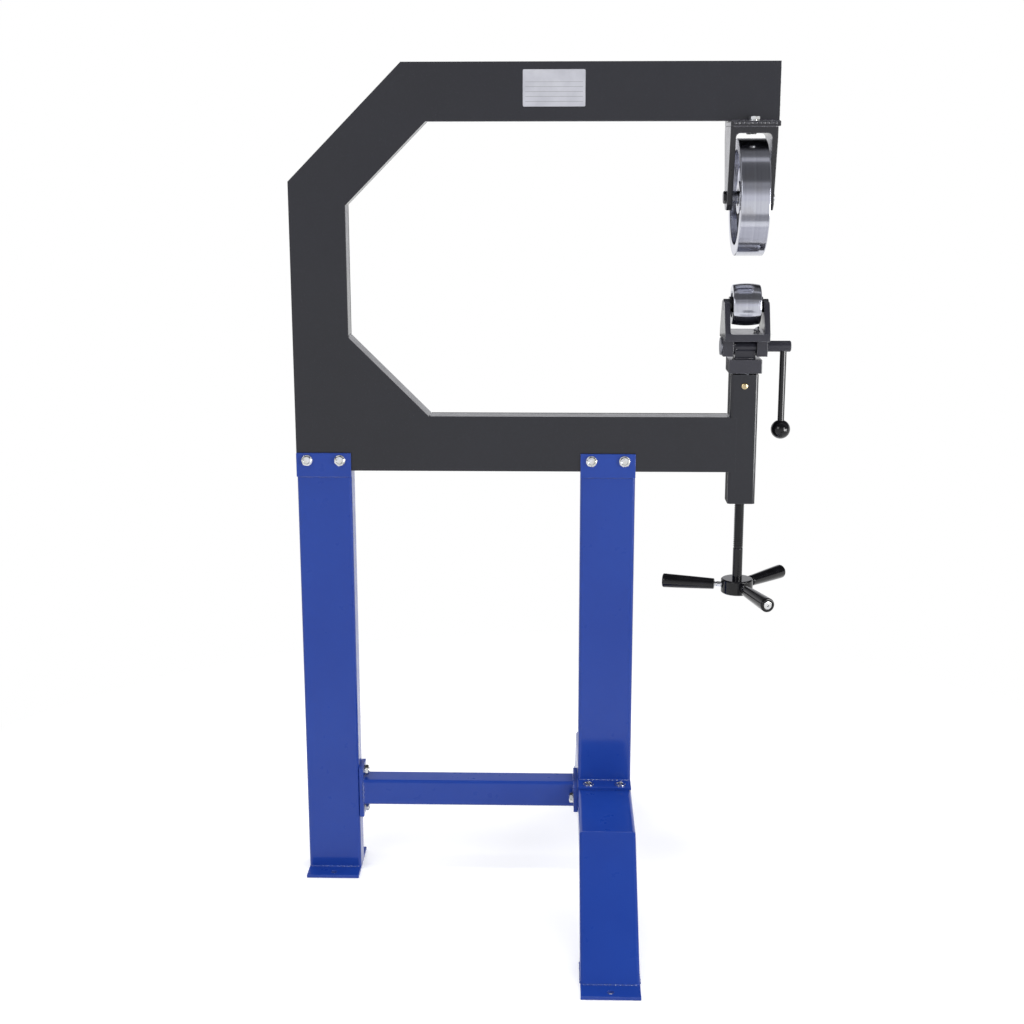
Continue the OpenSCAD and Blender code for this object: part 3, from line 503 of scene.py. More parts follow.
@dataclass(frozen=True)
class GlossBlack(Finish):
    """Glossy black, as moulded phenolic or as an oiled oxide film.

    Args:
        roughness: How dull it is.
        gloss: The share of clear gloss over it.
        tone: Its tone.
        marks: The depth of its marks, in metres.
        haze: The tone that it drifts to.
        worn_and_glint_tone: The tone at edges, partly rubbed and partly a painted edge highlight.
    """

    roughness: float = 0.14
    gloss: float = 0.6
    tone: str = "#131316"
    marks: float = 0.00002
    haze: str = "#141418"
    worn_and_glint_tone: str = "#55565c"

    def mix(self, recipe: Recipe) -> None:
        """Mixes the black.

        Args:
            recipe: The material, still bare.
        """
        haze = recipe.spread(recipe.cloud(40.0, 4), 0.4, 0.7)
        tone = recipe.blend(haze, hex_colour(self.tone), hex_colour(self.haze))
        # Paler edges: partly rubbed, partly a painted edge highlight.
        edge = recipe.sum("MULTIPLY", recipe.corners(0.0008), 0.3)
        tone = recipe.blend(edge, tone, hex_colour(self.worn_and_glint_tone))
        dull = recipe.spread(recipe.cloud(260.0, 4), 0.35, 0.75, (self.roughness, self.roughness + 0.08))
        recipe.set(Base_Color=tone, Roughness=dull, Specular_IOR_Level=0.35, Coat_Weight=self.gloss,
                   Coat_Roughness=0.05, Normal=recipe.bump(recipe.cloud(700.0, 3), self.marks))


@dataclass(frozen=True)
class RuledPlate(Finish):
    """A light grey data plate, bare but for blank ruled lines.

    Args:
        low: The plate's lower left corner in x and z, in metres.
        wide: Its width, in metres.
        high: Its height, in metres.
        rows: How many blank lines are ruled on it.
        top: The share of its height under which they are ruled.
        foot: The share of its height over which they are ruled.
        reach: How far they reach to both sides of its middle, as a share of its width.
        weight: A line's thickness, as a share of the step between two.
        tone: The plate's tone.
        shade: The tone that it drifts to.
        ink: The lines' tone.
    """

    low: tuple[float, float]
    wide: float
    high: float
    rows: int = 5
    top: float = 0.67
    foot: float = 0.06
    reach: float = 0.46
    weight: float = 0.085
    tone: str = "#c4c5cd"
    shade: str = "#b4b5be"
    ink: str = "#77797f"

    def mix(self, recipe: Recipe) -> None:
        """Mixes the plate's print.

        Args:
            recipe: The material, still bare.
        """
        where = recipe.place((self.low[0], 0, self.low[1]), (1 / self.wide, 1, 1 / self.high))
        split = recipe.node("ShaderNodeSeparateXYZ", {0: where})
        u, v = split.outputs[0], split.outputs[2]
        step = recipe.sum("FRACT", recipe.sum("MULTIPLY", v, self.rows / (self.top - 0.01)))
        line = recipe.sum("LESS_THAN", step, self.weight)
        inside = recipe.sum("LESS_THAN", recipe.sum("ABSOLUTE", recipe.sum("SUBTRACT", u, 0.5)), self.reach)
        rule = recipe.sum("MULTIPLY", recipe.sum("MULTIPLY", line, recipe.sum("LESS_THAN", v, self.top)),
                          recipe.sum("MULTIPLY", inside, recipe.sum("GREATER_THAN", v, self.foot)))
        haze = recipe.spread(recipe.cloud(30.0, 3), 0.35, 0.7)
        tone = recipe.blend(haze, hex_colour(self.tone), hex_colour(self.shade))
        tone = recipe.blend(recipe.sum("MULTIPLY", rule, 0.75), tone, hex_colour(self.ink))
        recipe.set(Base_Color=tone, Roughness=recipe.spread(haze, 0, 1, (0.3, 0.42)), Coat_Weight=0.15,
                   Normal=recipe.bump(recipe.cloud(300.0, 2), 0.00002))


# Each paint's third tone is its pale edge tone: rubbed paint at edges, and also a painted highlight there
# and painted glints in the specks.
FRAME_PAINT = PowderCoat("charcoal_powder_coat", Slot.FRAME_PAINT, "#1d1e26", "#17181f", "#62636c",
                         gloss=0.6)
STAND_PAINT = PowderCoat("blue_powder_coat", Slot.STAND_PAINT, "#1e429e", "#193890", "#7f8cc8",
                         roughness=0.32, gloss=0.5, wear_and_glint=0.45, specks=0.0, sheen=0.1)
# On the weld paints the pale edge tone covers most of each small bead, so it is mostly painted glints of
# light on the ripples, besides rubbed paint.
STAND_WELD = PowderCoat("blue_painted_weld", Slot.STAND_PAINT, "#2046a0", "#163488", "#aab2dc",
                        roughness=0.2, gloss=1.0, peel=0.00025, grain=300, wear_and_glint=0.8, sheen=0.5)
FRAME_WELD = PowderCoat("charcoal_painted_weld", Slot.FRAME_PAINT, "#2a2b30", "#202126", "#a0a1aa",
                        roughness=0.26, gloss=0.8, peel=0.00025, grain=300, wear_and_glint=0.8, sheen=0.5)
YOKE_PAINT = PowderCoat("yoke_dark_paint", Slot.DARK_STEEL, "#33333c", "#2a2a32", "#8f9098",
                        roughness=0.34, gloss=0.5, peel=0.00014, grain=260, wear_and_glint=0.8, specks=0.3, sheen=0.2)
MOUNT_PAINT = PowderCoat("mount_dark_paint", Slot.DARK_STEEL, "#212126", "#17171b", "#8f9098",
                         roughness=0.3, gloss=0.6, peel=0.0002, grain=260, wear_and_glint=0.8, specks=0.4, sheen=0.2)
YOKE_WELD = PowderCoat("yoke_painted_weld", Slot.DARK_STEEL, "#35353d", "#202026", "#c4c4cc",
                       roughness=0.2, gloss=1.0, peel=0.0003, grain=280, wear_and_glint=1.0, specks=0.5, sheen=0.5)
SLIDE_STEEL = PlainMetal("slide_steel", Slot.DARK_STEEL, "#5d5e64", "#48494e", 0.34, 0.85)
DISC_STEEL = PlainMetal("end_disc_steel", Slot.DARK_STEEL, "#8e8f97", "#7b7c84", 0.36, 0.7)
PIN_STEEL = PlainMetal("pin_steel", Slot.PLAIN_STEEL, "#b4b5ba", "#a0a1a8", 0.22)
ZINC = PlainMetal("bright_zinc_plate", Slot.ZINC_PLATE, "#dcdee4", "#cfcfc6", 0.16)
BRASS = PlainMetal("brass_screw", Slot.BRASS, "#d9cba8", "#c0a878", 0.2)
BLACK_OXIDE = GlossBlack("oiled_black_oxide", Slot.BLACK_STEEL, 0.1, 0.1, "#0b0b0f", 0.000004)
PHENOLIC = GlossBlack("black_phenolic", Slot.BLACK_PLASTIC, 0.1, 0.08, "#09090c", 0.000004)
SEAL_RUBBER = GlossBlack("bearing_seal_rubber", Slot.PLAIN_STEEL, 0.4, 0.0, "#1a1a1c", 0.00004)
BEARING_STEEL = PlainMetal("bearing_race_steel", Slot.PLAIN_STEEL, "#c0c1c6", "#aeb0b6", 0.16)


# Workshop


class Shape:
    """A mesh under construction, with the shop work that the pieces need."""

    def __init__(self) -> None:
        """Starts with nothing on the bench."""
        self.bm = bmesh.new()

    @classmethod
    def of_node(cls, node: str) -> "Shape":
        """Takes a merged copy of a CAD node, its flat faces whole.

        Args:
            node: The node's name.

        Returns:
            The copy.
        """
        shape = cls()
        shape.bm.from_mesh(frame["nodes"][node].data)
        bmesh.ops.remove_doubles(shape.bm, verts=shape.bm.verts, dist=CAD_JOIN)
        bmesh.ops.dissolve_limit(shape.bm, angle_limit=math.radians(0.4), use_dissolve_boundaries=False,
                                 verts=shape.bm.verts, edges=shape.bm.edges, delimit=set())
        return shape

    @classmethod
    def lathe(cls, profile: Iterable[Point], steps: int = 96) -> "Shape":
        """Turns a closed profile about Z.

        Args:
            profile: Corners as (radius, height) or (radius, height, rounding), in millimetres.
            steps: How many faces go round.

        Returns:
            The turned shape.
        """
        shape = cls()
        points = list(profile)
        verts = shape.outline((p[0] * MM, 0, p[1] * MM) for p in points)
        for vert, point in zip(verts, points):
            if len(point) > 2:
                bmesh.ops.bevel(shape.bm, geom=[vert], offset=point[2] * MM, offset_type="OFFSET",
                                affect="VERTICES", segments=5, profile=0.5, material=-1)
        bmesh.ops.spin(shape.bm, geom=shape.bm.verts[:] + shape.bm.edges[:], cent=(0, 0, 0), axis=(0, 0, 1),
                       dvec=(0, 0, 0), angle=math.tau, steps=steps, use_merge=True, use_normal_flip=False,
                       use_duplicate=False)
        return shape.clean()

    @classmethod
    def hexagonal(cls, profile: Iterable[Point], across: float) -> "Shape":
        """Turns a profile and mills six flats on it.

        Args:
            profile: Corners as (radius, height) in millimetres.
            across: The size across the flats, in millimetres.

        Returns:
            The shape.
        """
        shape = cls.lathe(profile, 48)
        for turn in range(6):
            angle = math.radians(60 * turn)
            way = Vector((math.cos(angle), math.sin(angle), 0))
            shape.saw(way * across / 2 * MM, way)
        return shape.clean()

    @classmethod
    def block(cls, low: Point, high: Point) -> "Shape":
        """Saws a block between two corners.

        Args:
            low: Its lowest corner, in metres.
            high: Its highest corner, in metres.

        Returns:
            The block.
        """
        shape = cls()
        low, high = Vector(low), Vector(high)
        matrix = Matrix.Translation((low + high) / 2) @ Matrix.Diagonal((high - low).to_4d())
        bmesh.ops.create_cube(shape.bm, size=1.0, matrix=matrix)
        return shape

    @classmethod
    def bead(cls, start: Point, end: Point, radius: float, stitch: float, seed: float) -> "Shape":
        """Lays one run of weld as a rippled, wandering tube, closed at both ends.

        Args:
            start: Where the run starts, in metres.
            end: Where it ends, in metres.
            radius: The bead's radius, in millimetres.
            stitch: The length of each dash in a stitched run, in millimetres, or 0.
            seed: A number that makes this run differ from others.

        Returns:
            The bead.
        """
        shape = cls()
        start, end = Vector(start), Vector(end)
        run = end - start
        count = max(8, int(run.length / MM))
        size = 0.4
        bmesh.ops.create_circle(shape.bm, cap_ends=False, radius=radius * MM * size, segments=8,
                                matrix=along(start, run))
        edges = shape.bm.edges[:]
        for index in range(1, count + 1):
            made = bmesh.ops.extrude_edge_only(shape.bm, edges=edges)["geom"]
            verts = {part for part in made if isinstance(part, bmesh.types.BMVert)}
            edges = [part for part in made if isinstance(part, bmesh.types.BMEdge)
                     and part.verts[0] in verts and part.verts[1] in verts]
            where = start + run * (index / count)
            wander = noise.noise(where * 260 + Vector((seed, 0, 0)))
            wanted = 0.84 + 0.16 * abs(math.sin(index * 0.75)) + 0.22 * wander
            if stitch:
                wanted *= 0.45 + 0.55 * abs(math.sin(math.pi * index / stitch)) ** 0.5
            wanted *= min(1.0, 0.4 + 0.2 * min(index, count - index))
            bmesh.ops.translate(shape.bm, verts=list(verts), vec=run / count)
            bmesh.ops.scale(shape.bm, verts=list(verts), vec=(wanted / size,) * 3,
                            space=Matrix.Translation(-where))
            size = wanted
        return shape.close()

    @classmethod
    def thread(cls, root: float, crest: float, pitch: float, low: float, high: float) -> "Shape":
        """Cuts a helical ridge that wraps a core.

        Args:
            root: The core's radius, in millimetres.
            crest: The ridge's outer radius, in millimetres.
            pitch: The rise per turn, in millimetres.
            low: The thread's lower end, in millimetres.
            high: Its upper end, in millimetres.

        Returns:
            The ridge, closed at both ends.
        """
        shape = cls()
        section = ((root - 0.3, 0.12), (crest, 0.34), (crest, 0.66), (root - 0.3, 0.88))
        shape.outline((radius * MM, 0, (low + share * pitch) * MM) for radius, share in section)
        turns = (high - low) / pitch - 1
        steps = int(turns * 28)
        bmesh.ops.spin(shape.bm, geom=shape.bm.verts[:] + shape.bm.edges[:], cent=(0, 0, 0), axis=(0, 0, 1),
                       dvec=(0, 0, turns * pitch * MM / steps), angle=math.tau * turns, steps=steps,
                       use_merge=False, use_normal_flip=False, use_duplicate=False)
        return shape.close()

    def outline(self, points: Iterable[Point]) -> list[bmesh.types.BMVert]:
        """Draws a closed outline.

        Args:
            points: Its corners, in metres.

        Returns:
            The new corners, in order.
        """
        verts = [self.bm.verts.new(point) for point in points]
        for pair in zip(verts, verts[1:] + verts[:1]):
            self.bm.edges.new(pair)
        return verts

    def rim(self) -> list[bmesh.types.BMEdge]:
        """Gives the edges that bound holes."""
        return [edge for edge in self.bm.edges if edge.is_boundary]

    def saw(self, point: Point, way: Point) -> None:
        """Saws off what lies beyond a plane, and closes the cut.

        Args:
            point: A point on the plane, in metres.
            way: Where the plane faces.
        """
        everything = self.bm.verts[:] + self.bm.edges[:] + self.bm.faces[:]
        bmesh.ops.bisect_plane(self.bm, geom=everything, dist=SAW, plane_co=point, plane_no=way,
                               clear_outer=True)
        bmesh.ops.edgenet_fill(self.bm, edges=self.rim(), mat_nr=0, use_smooth=False, sides=0)

    def close(self) -> "Shape":
        """Caps the open ends."""
        bmesh.ops.holes_fill(self.bm, edges=self.rim(), sides=0)
        return self.clean()

    def clean(self) -> "Shape":
        """Merges doubled points and turns the faces outwards."""
        bmesh.ops.remove_doubles(self.bm, verts=self.bm.verts, dist=JOIN)
        bmesh.ops.recalc_face_normals(self.bm, faces=self.bm.faces)
        return self

    def bevel(self, width: float, segments: int = 2, angle: float = 32.0) -> "Shape":
        """Breaks the sharp edges.

        Args:
            width: The chamfer's width, in millimetres.
            segments: How many faces round it.
            angle: The least angle that counts as sharp, in degrees.

        Returns:
            This shape.
        """
        sharp = [edge for edge in self.bm.edges
                 if len(edge.link_faces) == 2 and edge.calc_face_angle(0) > math.radians(angle)]
        bmesh.ops.bevel(self.bm, geom=sharp, offset=width * MM, offset_type="OFFSET", affect="EDGES",
                        segments=segments, profile=0.5, material=-1, clamp_overlap=False, loop_slide=True)
        return self

    def move(self, matrix: Matrix) -> "Shape":
        """Places the shape."""
        bmesh.ops.transform(self.bm, matrix=matrix, verts=self.bm.verts)
        return self

    def add(self, other: "Shape", matrix: Matrix | None = None) -> "Shape":
        """Joins a copy of another shape to this one.

        Args:
            other: The shape to copy.
            matrix: Where the copy goes.

        Returns:
            This shape.
        """
        mesh = bpy.data.meshes.new("copy")
        other.bm.to_mesh(mesh)
        if matrix is not None:
            mesh.transform(matrix)
        self.bm.from_mesh(mesh)
        bpy.data.meshes.remove(mesh)
        return self

    def loose(self, name: str) -> bpy.types.Object:
        """Lays the shape out as a bare object.

        Args:
            name: The object's name.

        Returns:
            The object.
        """
        mesh = bpy.data.meshes.new(name)
        self.bm.to_mesh(mesh)
        thing = bpy.data.objects.new(name, mesh)
        bpy.context.scene.collection.objects.link(thing)
        return thing

    def cut(self, tool: "Shape") -> "Shape":
        """Cuts another shape out of this one.

        Args:
            tool: The shape that is cut away.

        Returns:
            This shape.
        """
        body, cutter = self.loose("body"), tool.loose("cutter")
        boolean = body.modifiers.new("cut", "BOOLEAN")
        boolean.operation, boolean.solver, boolean.object = "DIFFERENCE", "EXACT", cutter
        bpy.context.view_layer.update()
        result = bpy.data.meshes.new_from_object(body.evaluated_get(bpy.context.evaluated_depsgraph_get()))
        self.bm.clear()
        self.bm.from_mesh(result)
        for thing in (body, cutter):
            bpy.data.objects.remove(thing)
        bpy.data.meshes.remove(result)
        return self

    def islands(self) -> list[list[bmesh.types.BMVert]]:
        """Gives the points of each separate solid.

        Returns:
            One list of points for each solid.
        """
        waiting, found = set(self.bm.verts), []
        while waiting:
            stack, solid = [waiting.pop()], []
            while stack:
                vert = stack.pop()
                solid.append(vert)
                for edge in vert.link_edges:
                    other = edge.other_vert(vert)
                    if other in waiting:
                        waiting.remove(other)
                        stack.append(other)
            found.append(solid)
        return found

    def fit(self, name: str, finish: Finish, body: Body | None = None, nodes: Sequence[str] = (),
            crease: float = 32.0) -> bpy.types.Object:
        """Makes the shape a piece of the machine.

        Args:
            name: The piece's name.
            finish: What it is dressed in.
            body: The body that it rides on, or None for that of the first node it replaces.
            nodes: The CAD nodes that it stands for.
            crease: The least angle that stays a sharp edge, in degrees.

        Returns:
            The piece.
        """
        piece = self.loose(name)
        mesh = piece.data
        self.bm.free()
        mesh.polygons.foreach_set("use_smooth", [True] * len(mesh.polygons))
        mesh.set_sharp_from_angle(angle=math.radians(crease))
        even = piece.modifiers.new("even_faces", "WEIGHTED_NORMAL")
        even.keep_sharp = True
        mesh.materials.append(finish.material())
        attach(piece, body.value if body else frame["nodes"][nodes[0]]["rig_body"])
        if nodes:
            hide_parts(*nodes)
        LOG.info("%s: %d faces in %s", name, len(mesh.polygons), finish.name)
        return piece


def dress(node: str, name: str, finish: Finish, width: float, segments: int = 2,
          angle: float = 32.0) -> None:
    """Dresses a CAD node with its sharp edges broken.

    Args:
        node: The node's name.
        name: The piece's name.
        finish: What it is dressed in.
        width: The chamfer's width, in millimetres.
        segments: How many faces round it.
        angle: The least angle that counts as sharp, in degrees.
    """
    Shape.of_node(node).bevel(width, segments, angle).fit(name, finish, nodes=[node])


@dataclass(frozen=True)
class Fixing:
    """Where one fastener of a node sits.

    Args:
        base: The middle of its lower end, in metres.
        way: Where it points, from that end to its head or other face.
        length: How long it is, in metres.
    """

    base: Vector
    way: Vector
    length: float

    @classmethod
    def all_of(cls, node: str) -> list["Fixing"]:
        """Finds a node's fasteners.

        Bolts point to their heads, and flat ones along their thin side.

        Args:
            node: The node's name.

        Returns:
            One fixing for each solid, in the order of their places.
        """
        found, copy = [], Shape.of_node(node)
        for solid in copy.islands():
            points = [vert.co for vert in solid]
            low = Vector([min(p[i] for p in points) for i in range(3)])
            high = Vector([max(p[i] for p in points) for i in range(3)])
            size, middle = high - low, (low + high) / 2
            sides = sorted(range(3), key=lambda i: size[i])
            axis = sides[2] if size[sides[2]] > 1.3 * size[sides[1]] else sides[0]
            others = [i for i in range(3) if i != axis]
            wide = max(sum((p[i] - middle[i]) ** 2 for i in others) for p in points)
            rim = [p[axis] for p in points if sum((p[i] - middle[i]) ** 2 for i in others) > 0.9 * wide]
            sign = 1 if sum(rim) / len(rim) >= middle[axis] - 0.0001 else -1
            way = Vector((0, 0, 0))
            way[axis] = sign
            found.append(cls(middle - way * size[axis] / 2, way, size[axis]))
        return sorted(found, key=lambda fixing: tuple(round(c, 4) for c in fixing.base))


@dataclass
class Fasteners:
    """The bolts, nuts and washers, all M10.

    Args:
        shank: The bolts' diameter, in millimetres.
        across: The heads' size across the flats, in millimetres.
        head: The heads' height, in millimetres.
        nut: The nuts' height, in millimetres.
        washer: The washers' diameter, in millimetres.
        pitch: The thread's pitch, in millimetres.
        threaded: How much of a bolt's end has a thread, in millimetres.
    """

    shank: float = 10.0
    across: float = 17.0
    head: float = 6.4
    nut: float = 8.0
    washer: float = 20.0
    pitch: float = 1.5
    threaded: float = 16.0

    def bolt(self, length: float) -> Shape:
        """Forges one bolt that stands on its threaded end.

        Args:
            length: Its whole length, in millimetres.

        Returns:
            The bolt.
        """
        corner, flat, under = self.across / 2 / COS_30, self.across / 2, length - self.head
        head = Shape.hexagonal([(0, under), (flat - 0.4, under), (corner, under + 0.7),
                                (corner, length - 1.7), (flat * 0.9, length), (5.9, length),
                                (4.8, length - 1.5), (0, length - 1.5)], self.across)
        radius, profile = self.shank / 2, [(0.0, 0.0), (self.shank / 2 - 1.2, 0.0)]
        height = 0.9
        while height + self.pitch < self.threaded:
            profile += [(radius, height + 0.25 * self.pitch), (radius - 0.75, height + 0.75 * self.pitch)]
            height += self.pitch
        profile += [(radius, height + 0.6), (radius, under + 0.2), (0.0, under + 0.2)]
        return head.add(Shape.lathe(profile, 24))

    def hex_nut(self) -> Shape:
        """Forges one nut that stands on its lower face.

        Returns:
            The nut.
        """
        corner, flat, bore = self.across / 2 / COS_30, self.across / 2, self.shank / 2 + RUNNING_GAP
        return Shape.hexagonal([(bore + 0.6, 0), (flat * 0.93, 0), (corner, 1.3), (corner, self.nut - 1.3),
                                (flat * 0.93, self.nut), (bore + 0.6, self.nut), (bore, self.nut - 0.6),
                                (bore, 0.6)], self.across)

    def flat_washer(self, thick: float) -> Shape:
        """Stamps one washer.

        Args:
            thick: Its thickness, in millimetres.

        Returns:
            The washer.
        """
        bore, rim = self.shank / 2 + 0.4, self.washer / 2
        return Shape.lathe([(bore, 0), (rim, 0, 0.4), (rim, thick, 0.5), (bore, thick, 0.3)], 48)

    def build(self) -> None:
        """Puts every fastener in its place."""
        for node, name in (("joint_bolts", "joint_hex_bolts"), ("yoke_bolts", "yoke_hex_bolts"),
                           ("stand_bolts", "stand_hex_bolts")):
            bolts = Shape()
            for spin, fixing in enumerate(Fixing.all_of(node)):
                turn = Matrix.Rotation(0.35 + 0.5 * spin, 4, "Z")
                bolts.add(self.bolt(fixing.length / MM), along(fixing.base, fixing.way) @ turn)
            bolts.fit(name, ZINC, nodes=[node])
        for node, name in (("hex_nuts", "joint_hex_nuts"), ("weld_nuts", "captive_weld_nuts")):
            nuts = Shape()
            for spin, fixing in enumerate(Fixing.all_of(node)):
                turn = Matrix.Rotation(0.2 + 0.4 * spin, 4, "Z")
                nuts.add(self.hex_nut(), along(fixing.base, fixing.way) @ turn)
            nuts.fit(name, ZINC if node == "hex_nuts" else SLIDE_STEEL, nodes=[node])
        washers = Shape()
        for fixing in Fixing.all_of("flat_washers"):
            washers.add(self.flat_washer(fixing.length / MM), along(fixing.base, fixing.way))
        washers.fit("flat_steel_washers", ZINC, nodes=["flat_washers"])


@dataclass
class Welds:
    """A set of weld runs that share a body and a paint.

    Args:
        name: The piece's name.
        finish: The paint over them.
        body: The body that they ride on.
        runs: Each run's start and end in metres, its radius and its stitch in millimetres.
    """

    name: str
    finish: Finish
    body: Body
    runs: list[tuple[Point, Point, float, float]] = field(default_factory=list)

    def run(self, start: Point, end: Point, radius: float, stitch: float = 0.0) -> None:
        """Plans one straight run."""
        self.runs.append((start, end, radius, stitch))

    def ring(self, low: Point, high: Point, radius: float, stitch: float = 0.0, gap: float = 0.0) -> None:
        """Plans four runs round a rectangle that is level or faces along X.

        Args:
            low: Its lowest corner, in metres.
            high: Its highest corner, at the same height or at the same x.
            radius: The bead's radius, in millimetres.
            stitch: The dashes' length, in millimetres, or 0.
            gap: How far each run stops short of the corners, in metres.
        """
        (x0, y0, z0), (x1, y1, z1) = low, high
        if z0 == z1:
            corners = [(x0, y0, z0), (x1, y0, z0), (x1, y1, z0), (x0, y1, z0)]
        else:
            corners = [(x0, y0, z0), (x0, y1, z0), (x0, y1, z1), (x0, y0, z1)]
        for start, end in zip(corners, corners[1:] + corners[:1]):
            way = (Vector(end) - Vector(start)).normalized() * gap
            self.run(Vector(start) + way, Vector(end) - way, radius, stitch)

    def build(self) -> None:
        """Lays every run."""
        beads = Shape()
        for seed, (start, end, radius, stitch) in enumerate(self.runs):
            beads.add(Shape.bead(start, end, radius, stitch, seed * 3.7))
        beads.fit(self.name, self.finish, self.body, crease=70.0)


# Sub-assemblies


@dataclass
class MachineFrame:
    """The painted C-frame of rectangular tube, with its gusset, end cap and slide post.

    Args:
        tubes: The CAD nodes that are welded flush, each with its piece's name.
        bead: The radius of a corner weld, in millimetres.
        filler: How proud the ground seams stand, in millimetres.
        corner: The width of the tubes' rounded corners, in millimetres.
        plate_low: The data plate's lower left corner, as x from the wheels' plane and z, in metres.
        plate_high: Its upper right corner.
    """

    tubes: tuple[tuple[str, str], ...] = (
        ("frame_top_arm", "top_arm_tube"), ("frame_upper_diagonal", "upper_diagonal_tube"),
        ("frame_column", "column_tube"), ("frame_lower_arm", "lower_arm_tube"),
        ("frame_gusset", "folded_gusset"), ("slide_post", "slide_post_tube"))
    bead: float = 1.8
    filler: float = 0.06
    corner: float = 6.5
    plate_low: tuple[float, float] = (-0.3979, 1.4327)
    plate_high: tuple[float, float] = (-0.2899, 1.4948)

    def build_tubes(self) -> None:
        """Dresses the tubes, whose rounded corners run through."""
        for node, name in self.tubes:
            Shape.of_node(node).fit(name, FRAME_PAINT, nodes=[node], crease=24)
        dress("frame_arm_cap", "arm_end_cap", FRAME_PAINT, 0.6)
        dress("post_nut", "post_screw_nut", SLIDE_STEEL, 0.5)

    def build_welds(self) -> None:
        """Lays the welds in the frame's inner corners, at its end cap and under the post."""
        welds = Welds("frame_weld_beads", FRAME_WELD, Body.FRAME)
        post, arm, cap = Seat.of("slide_post"), Seat.of("frame_lower_arm"), Seat.of("frame_arm_cap")
        gusset, column = Seat.of("frame_gusset"), Seat.of("frame_column")
        front, back = arm.low.y + 0.004, arm.high.y - 0.004
        for z in (arm.high.z, arm.low.z):
            welds.run((post.low.x - 0.0004, front, z), (post.low.x - 0.0004, back, z), self.bead)
        welds.run((column.high.x, front, gusset.high.z), (column.high.x, back, gusset.high.z), self.bead)
        welds.run((gusset.high.x, front, arm.high.z), (gusset.high.x, back, arm.high.z), self.bead)
        x = cap.high.x - 0.0002
        welds.ring((x, cap.low.y, cap.low.z), (x, cap.high.y, cap.high.z), 1.1, gap=0.0008)
        welds.build()

    def build_filler(self) -> None:
        """Fills and grinds the welded seams flush, as one thin skin on the front and one on the back."""
        top, column, arm = Seat.of("frame_top_arm"), Seat.of("frame_column"), Seat.of("frame_lower_arm")
        gusset, end = Seat.of("frame_gusset"), Seat.of("slide_post").low.x + 0.013
        step = column.size.x * math.tan(math.pi / 8)
        corners = ((top.low.x, top.high.z), (column.low.x, column.high.z), (column.low.x, arm.low.z),
                   (end, arm.low.z), (end, arm.high.z), (gusset.high.x, arm.high.z),
                   (column.high.x, gusset.high.z), (column.high.x, column.high.z - step),
                   (top.low.x + step, top.low.z), (top.high.x, top.low.z), (top.high.x, top.high.z))
        skins = Shape()
        for y, proud in ((column.low.y, -self.filler * MM), (column.high.y, self.filler * MM)):
            skin = Shape()
            skin.outline((x, y, z) for x, z in corners)
            faces = bmesh.ops.contextual_create(skin.bm, geom=skin.bm.edges[:])["faces"]
            border = bmesh.ops.inset_region(skin.bm, faces=faces, thickness=self.corner * MM,
                                            use_even_offset=True)["faces"]
            bmesh.ops.delete(skin.bm, geom=border, context="FACES")
            made = bmesh.ops.extrude_face_region(skin.bm, geom=skin.bm.faces[:], use_keep_orig=True)["geom"]
            raised = [part for part in made if isinstance(part, bmesh.types.BMVert)]
            bmesh.ops.translate(skin.bm, verts=raised, vec=(0, proud, 0))
            skins.add(skin.clean())
        skins.fit("ground_seam_filler", FRAME_PAINT, Body.FRAME)

    def build_guide_screw(self) -> None:
        """Turns the domed guide screw and presses a cross recess into its head."""
        seat = Seat.of("guide_screw")
        radius, tip = seat.size.x / 2 / MM, seat.low.y
        head, shank = 2.5, seat.size.y / MM
        screw = Shape.lathe([(0, -shank), (3.0, -shank), (3.0, -head), (radius, -head, 0.3),
                             (radius, -1.5, 0.6), (radius * 0.75, -0.45, 1.0), (radius * 0.4, -0.05, 0.8),
                             (0, 0)], 48)
        for turn in (0.4, 0.4 + math.pi / 2):
            slot = Shape.block((-0.0029, -0.0007, -0.0022), (0.0029, 0.0007, 0.002))
            screw.cut(slot.move(Matrix.Rotation(turn, 4, "Z")))
        screw.move(along((seat.centre.x, tip, seat.centre.z), Way.FRONT))
        screw.fit("slide_guide_screw", BRASS, nodes=["guide_screw"])

    def build_plate(self) -> None:
        """Fixes the bare data plate to the top arm's front."""
        arm, wheel = Seat.of("frame_top_arm"), Seat.of("upper_wheel").centre.x
        low = Vector((wheel + self.plate_low[0], arm.low.y - 0.0007, self.plate_low[1]))
        high = Vector((wheel + self.plate_high[0], arm.low.y + 0.0005, self.plate_high[1]))
        plate = Shape.block(low, high)
        upright = [e for e in plate.bm.edges if abs(e.verts[0].co.y - e.verts[1].co.y) > 0.0005]
        bmesh.ops.bevel(plate.bm, geom=upright, offset=0.0022, offset_type="OFFSET", affect="EDGES",
                        segments=6, profile=0.5, material=-1)
        plate.bevel(0.15, 2, 60)
        size = high - low
        finish = RuledPlate("bare_data_plate", Slot.FRAME_PAINT, (low.x, low.z), size.x, size.z)
        plate.fit("bare_data_plate", finish, Body.FRAME)

    def build(self) -> None:
        """Builds the whole frame."""
        self.build_tubes()
        self.build_filler()
        self.build_welds()
        self.build_guide_screw()
        self.build_plate()


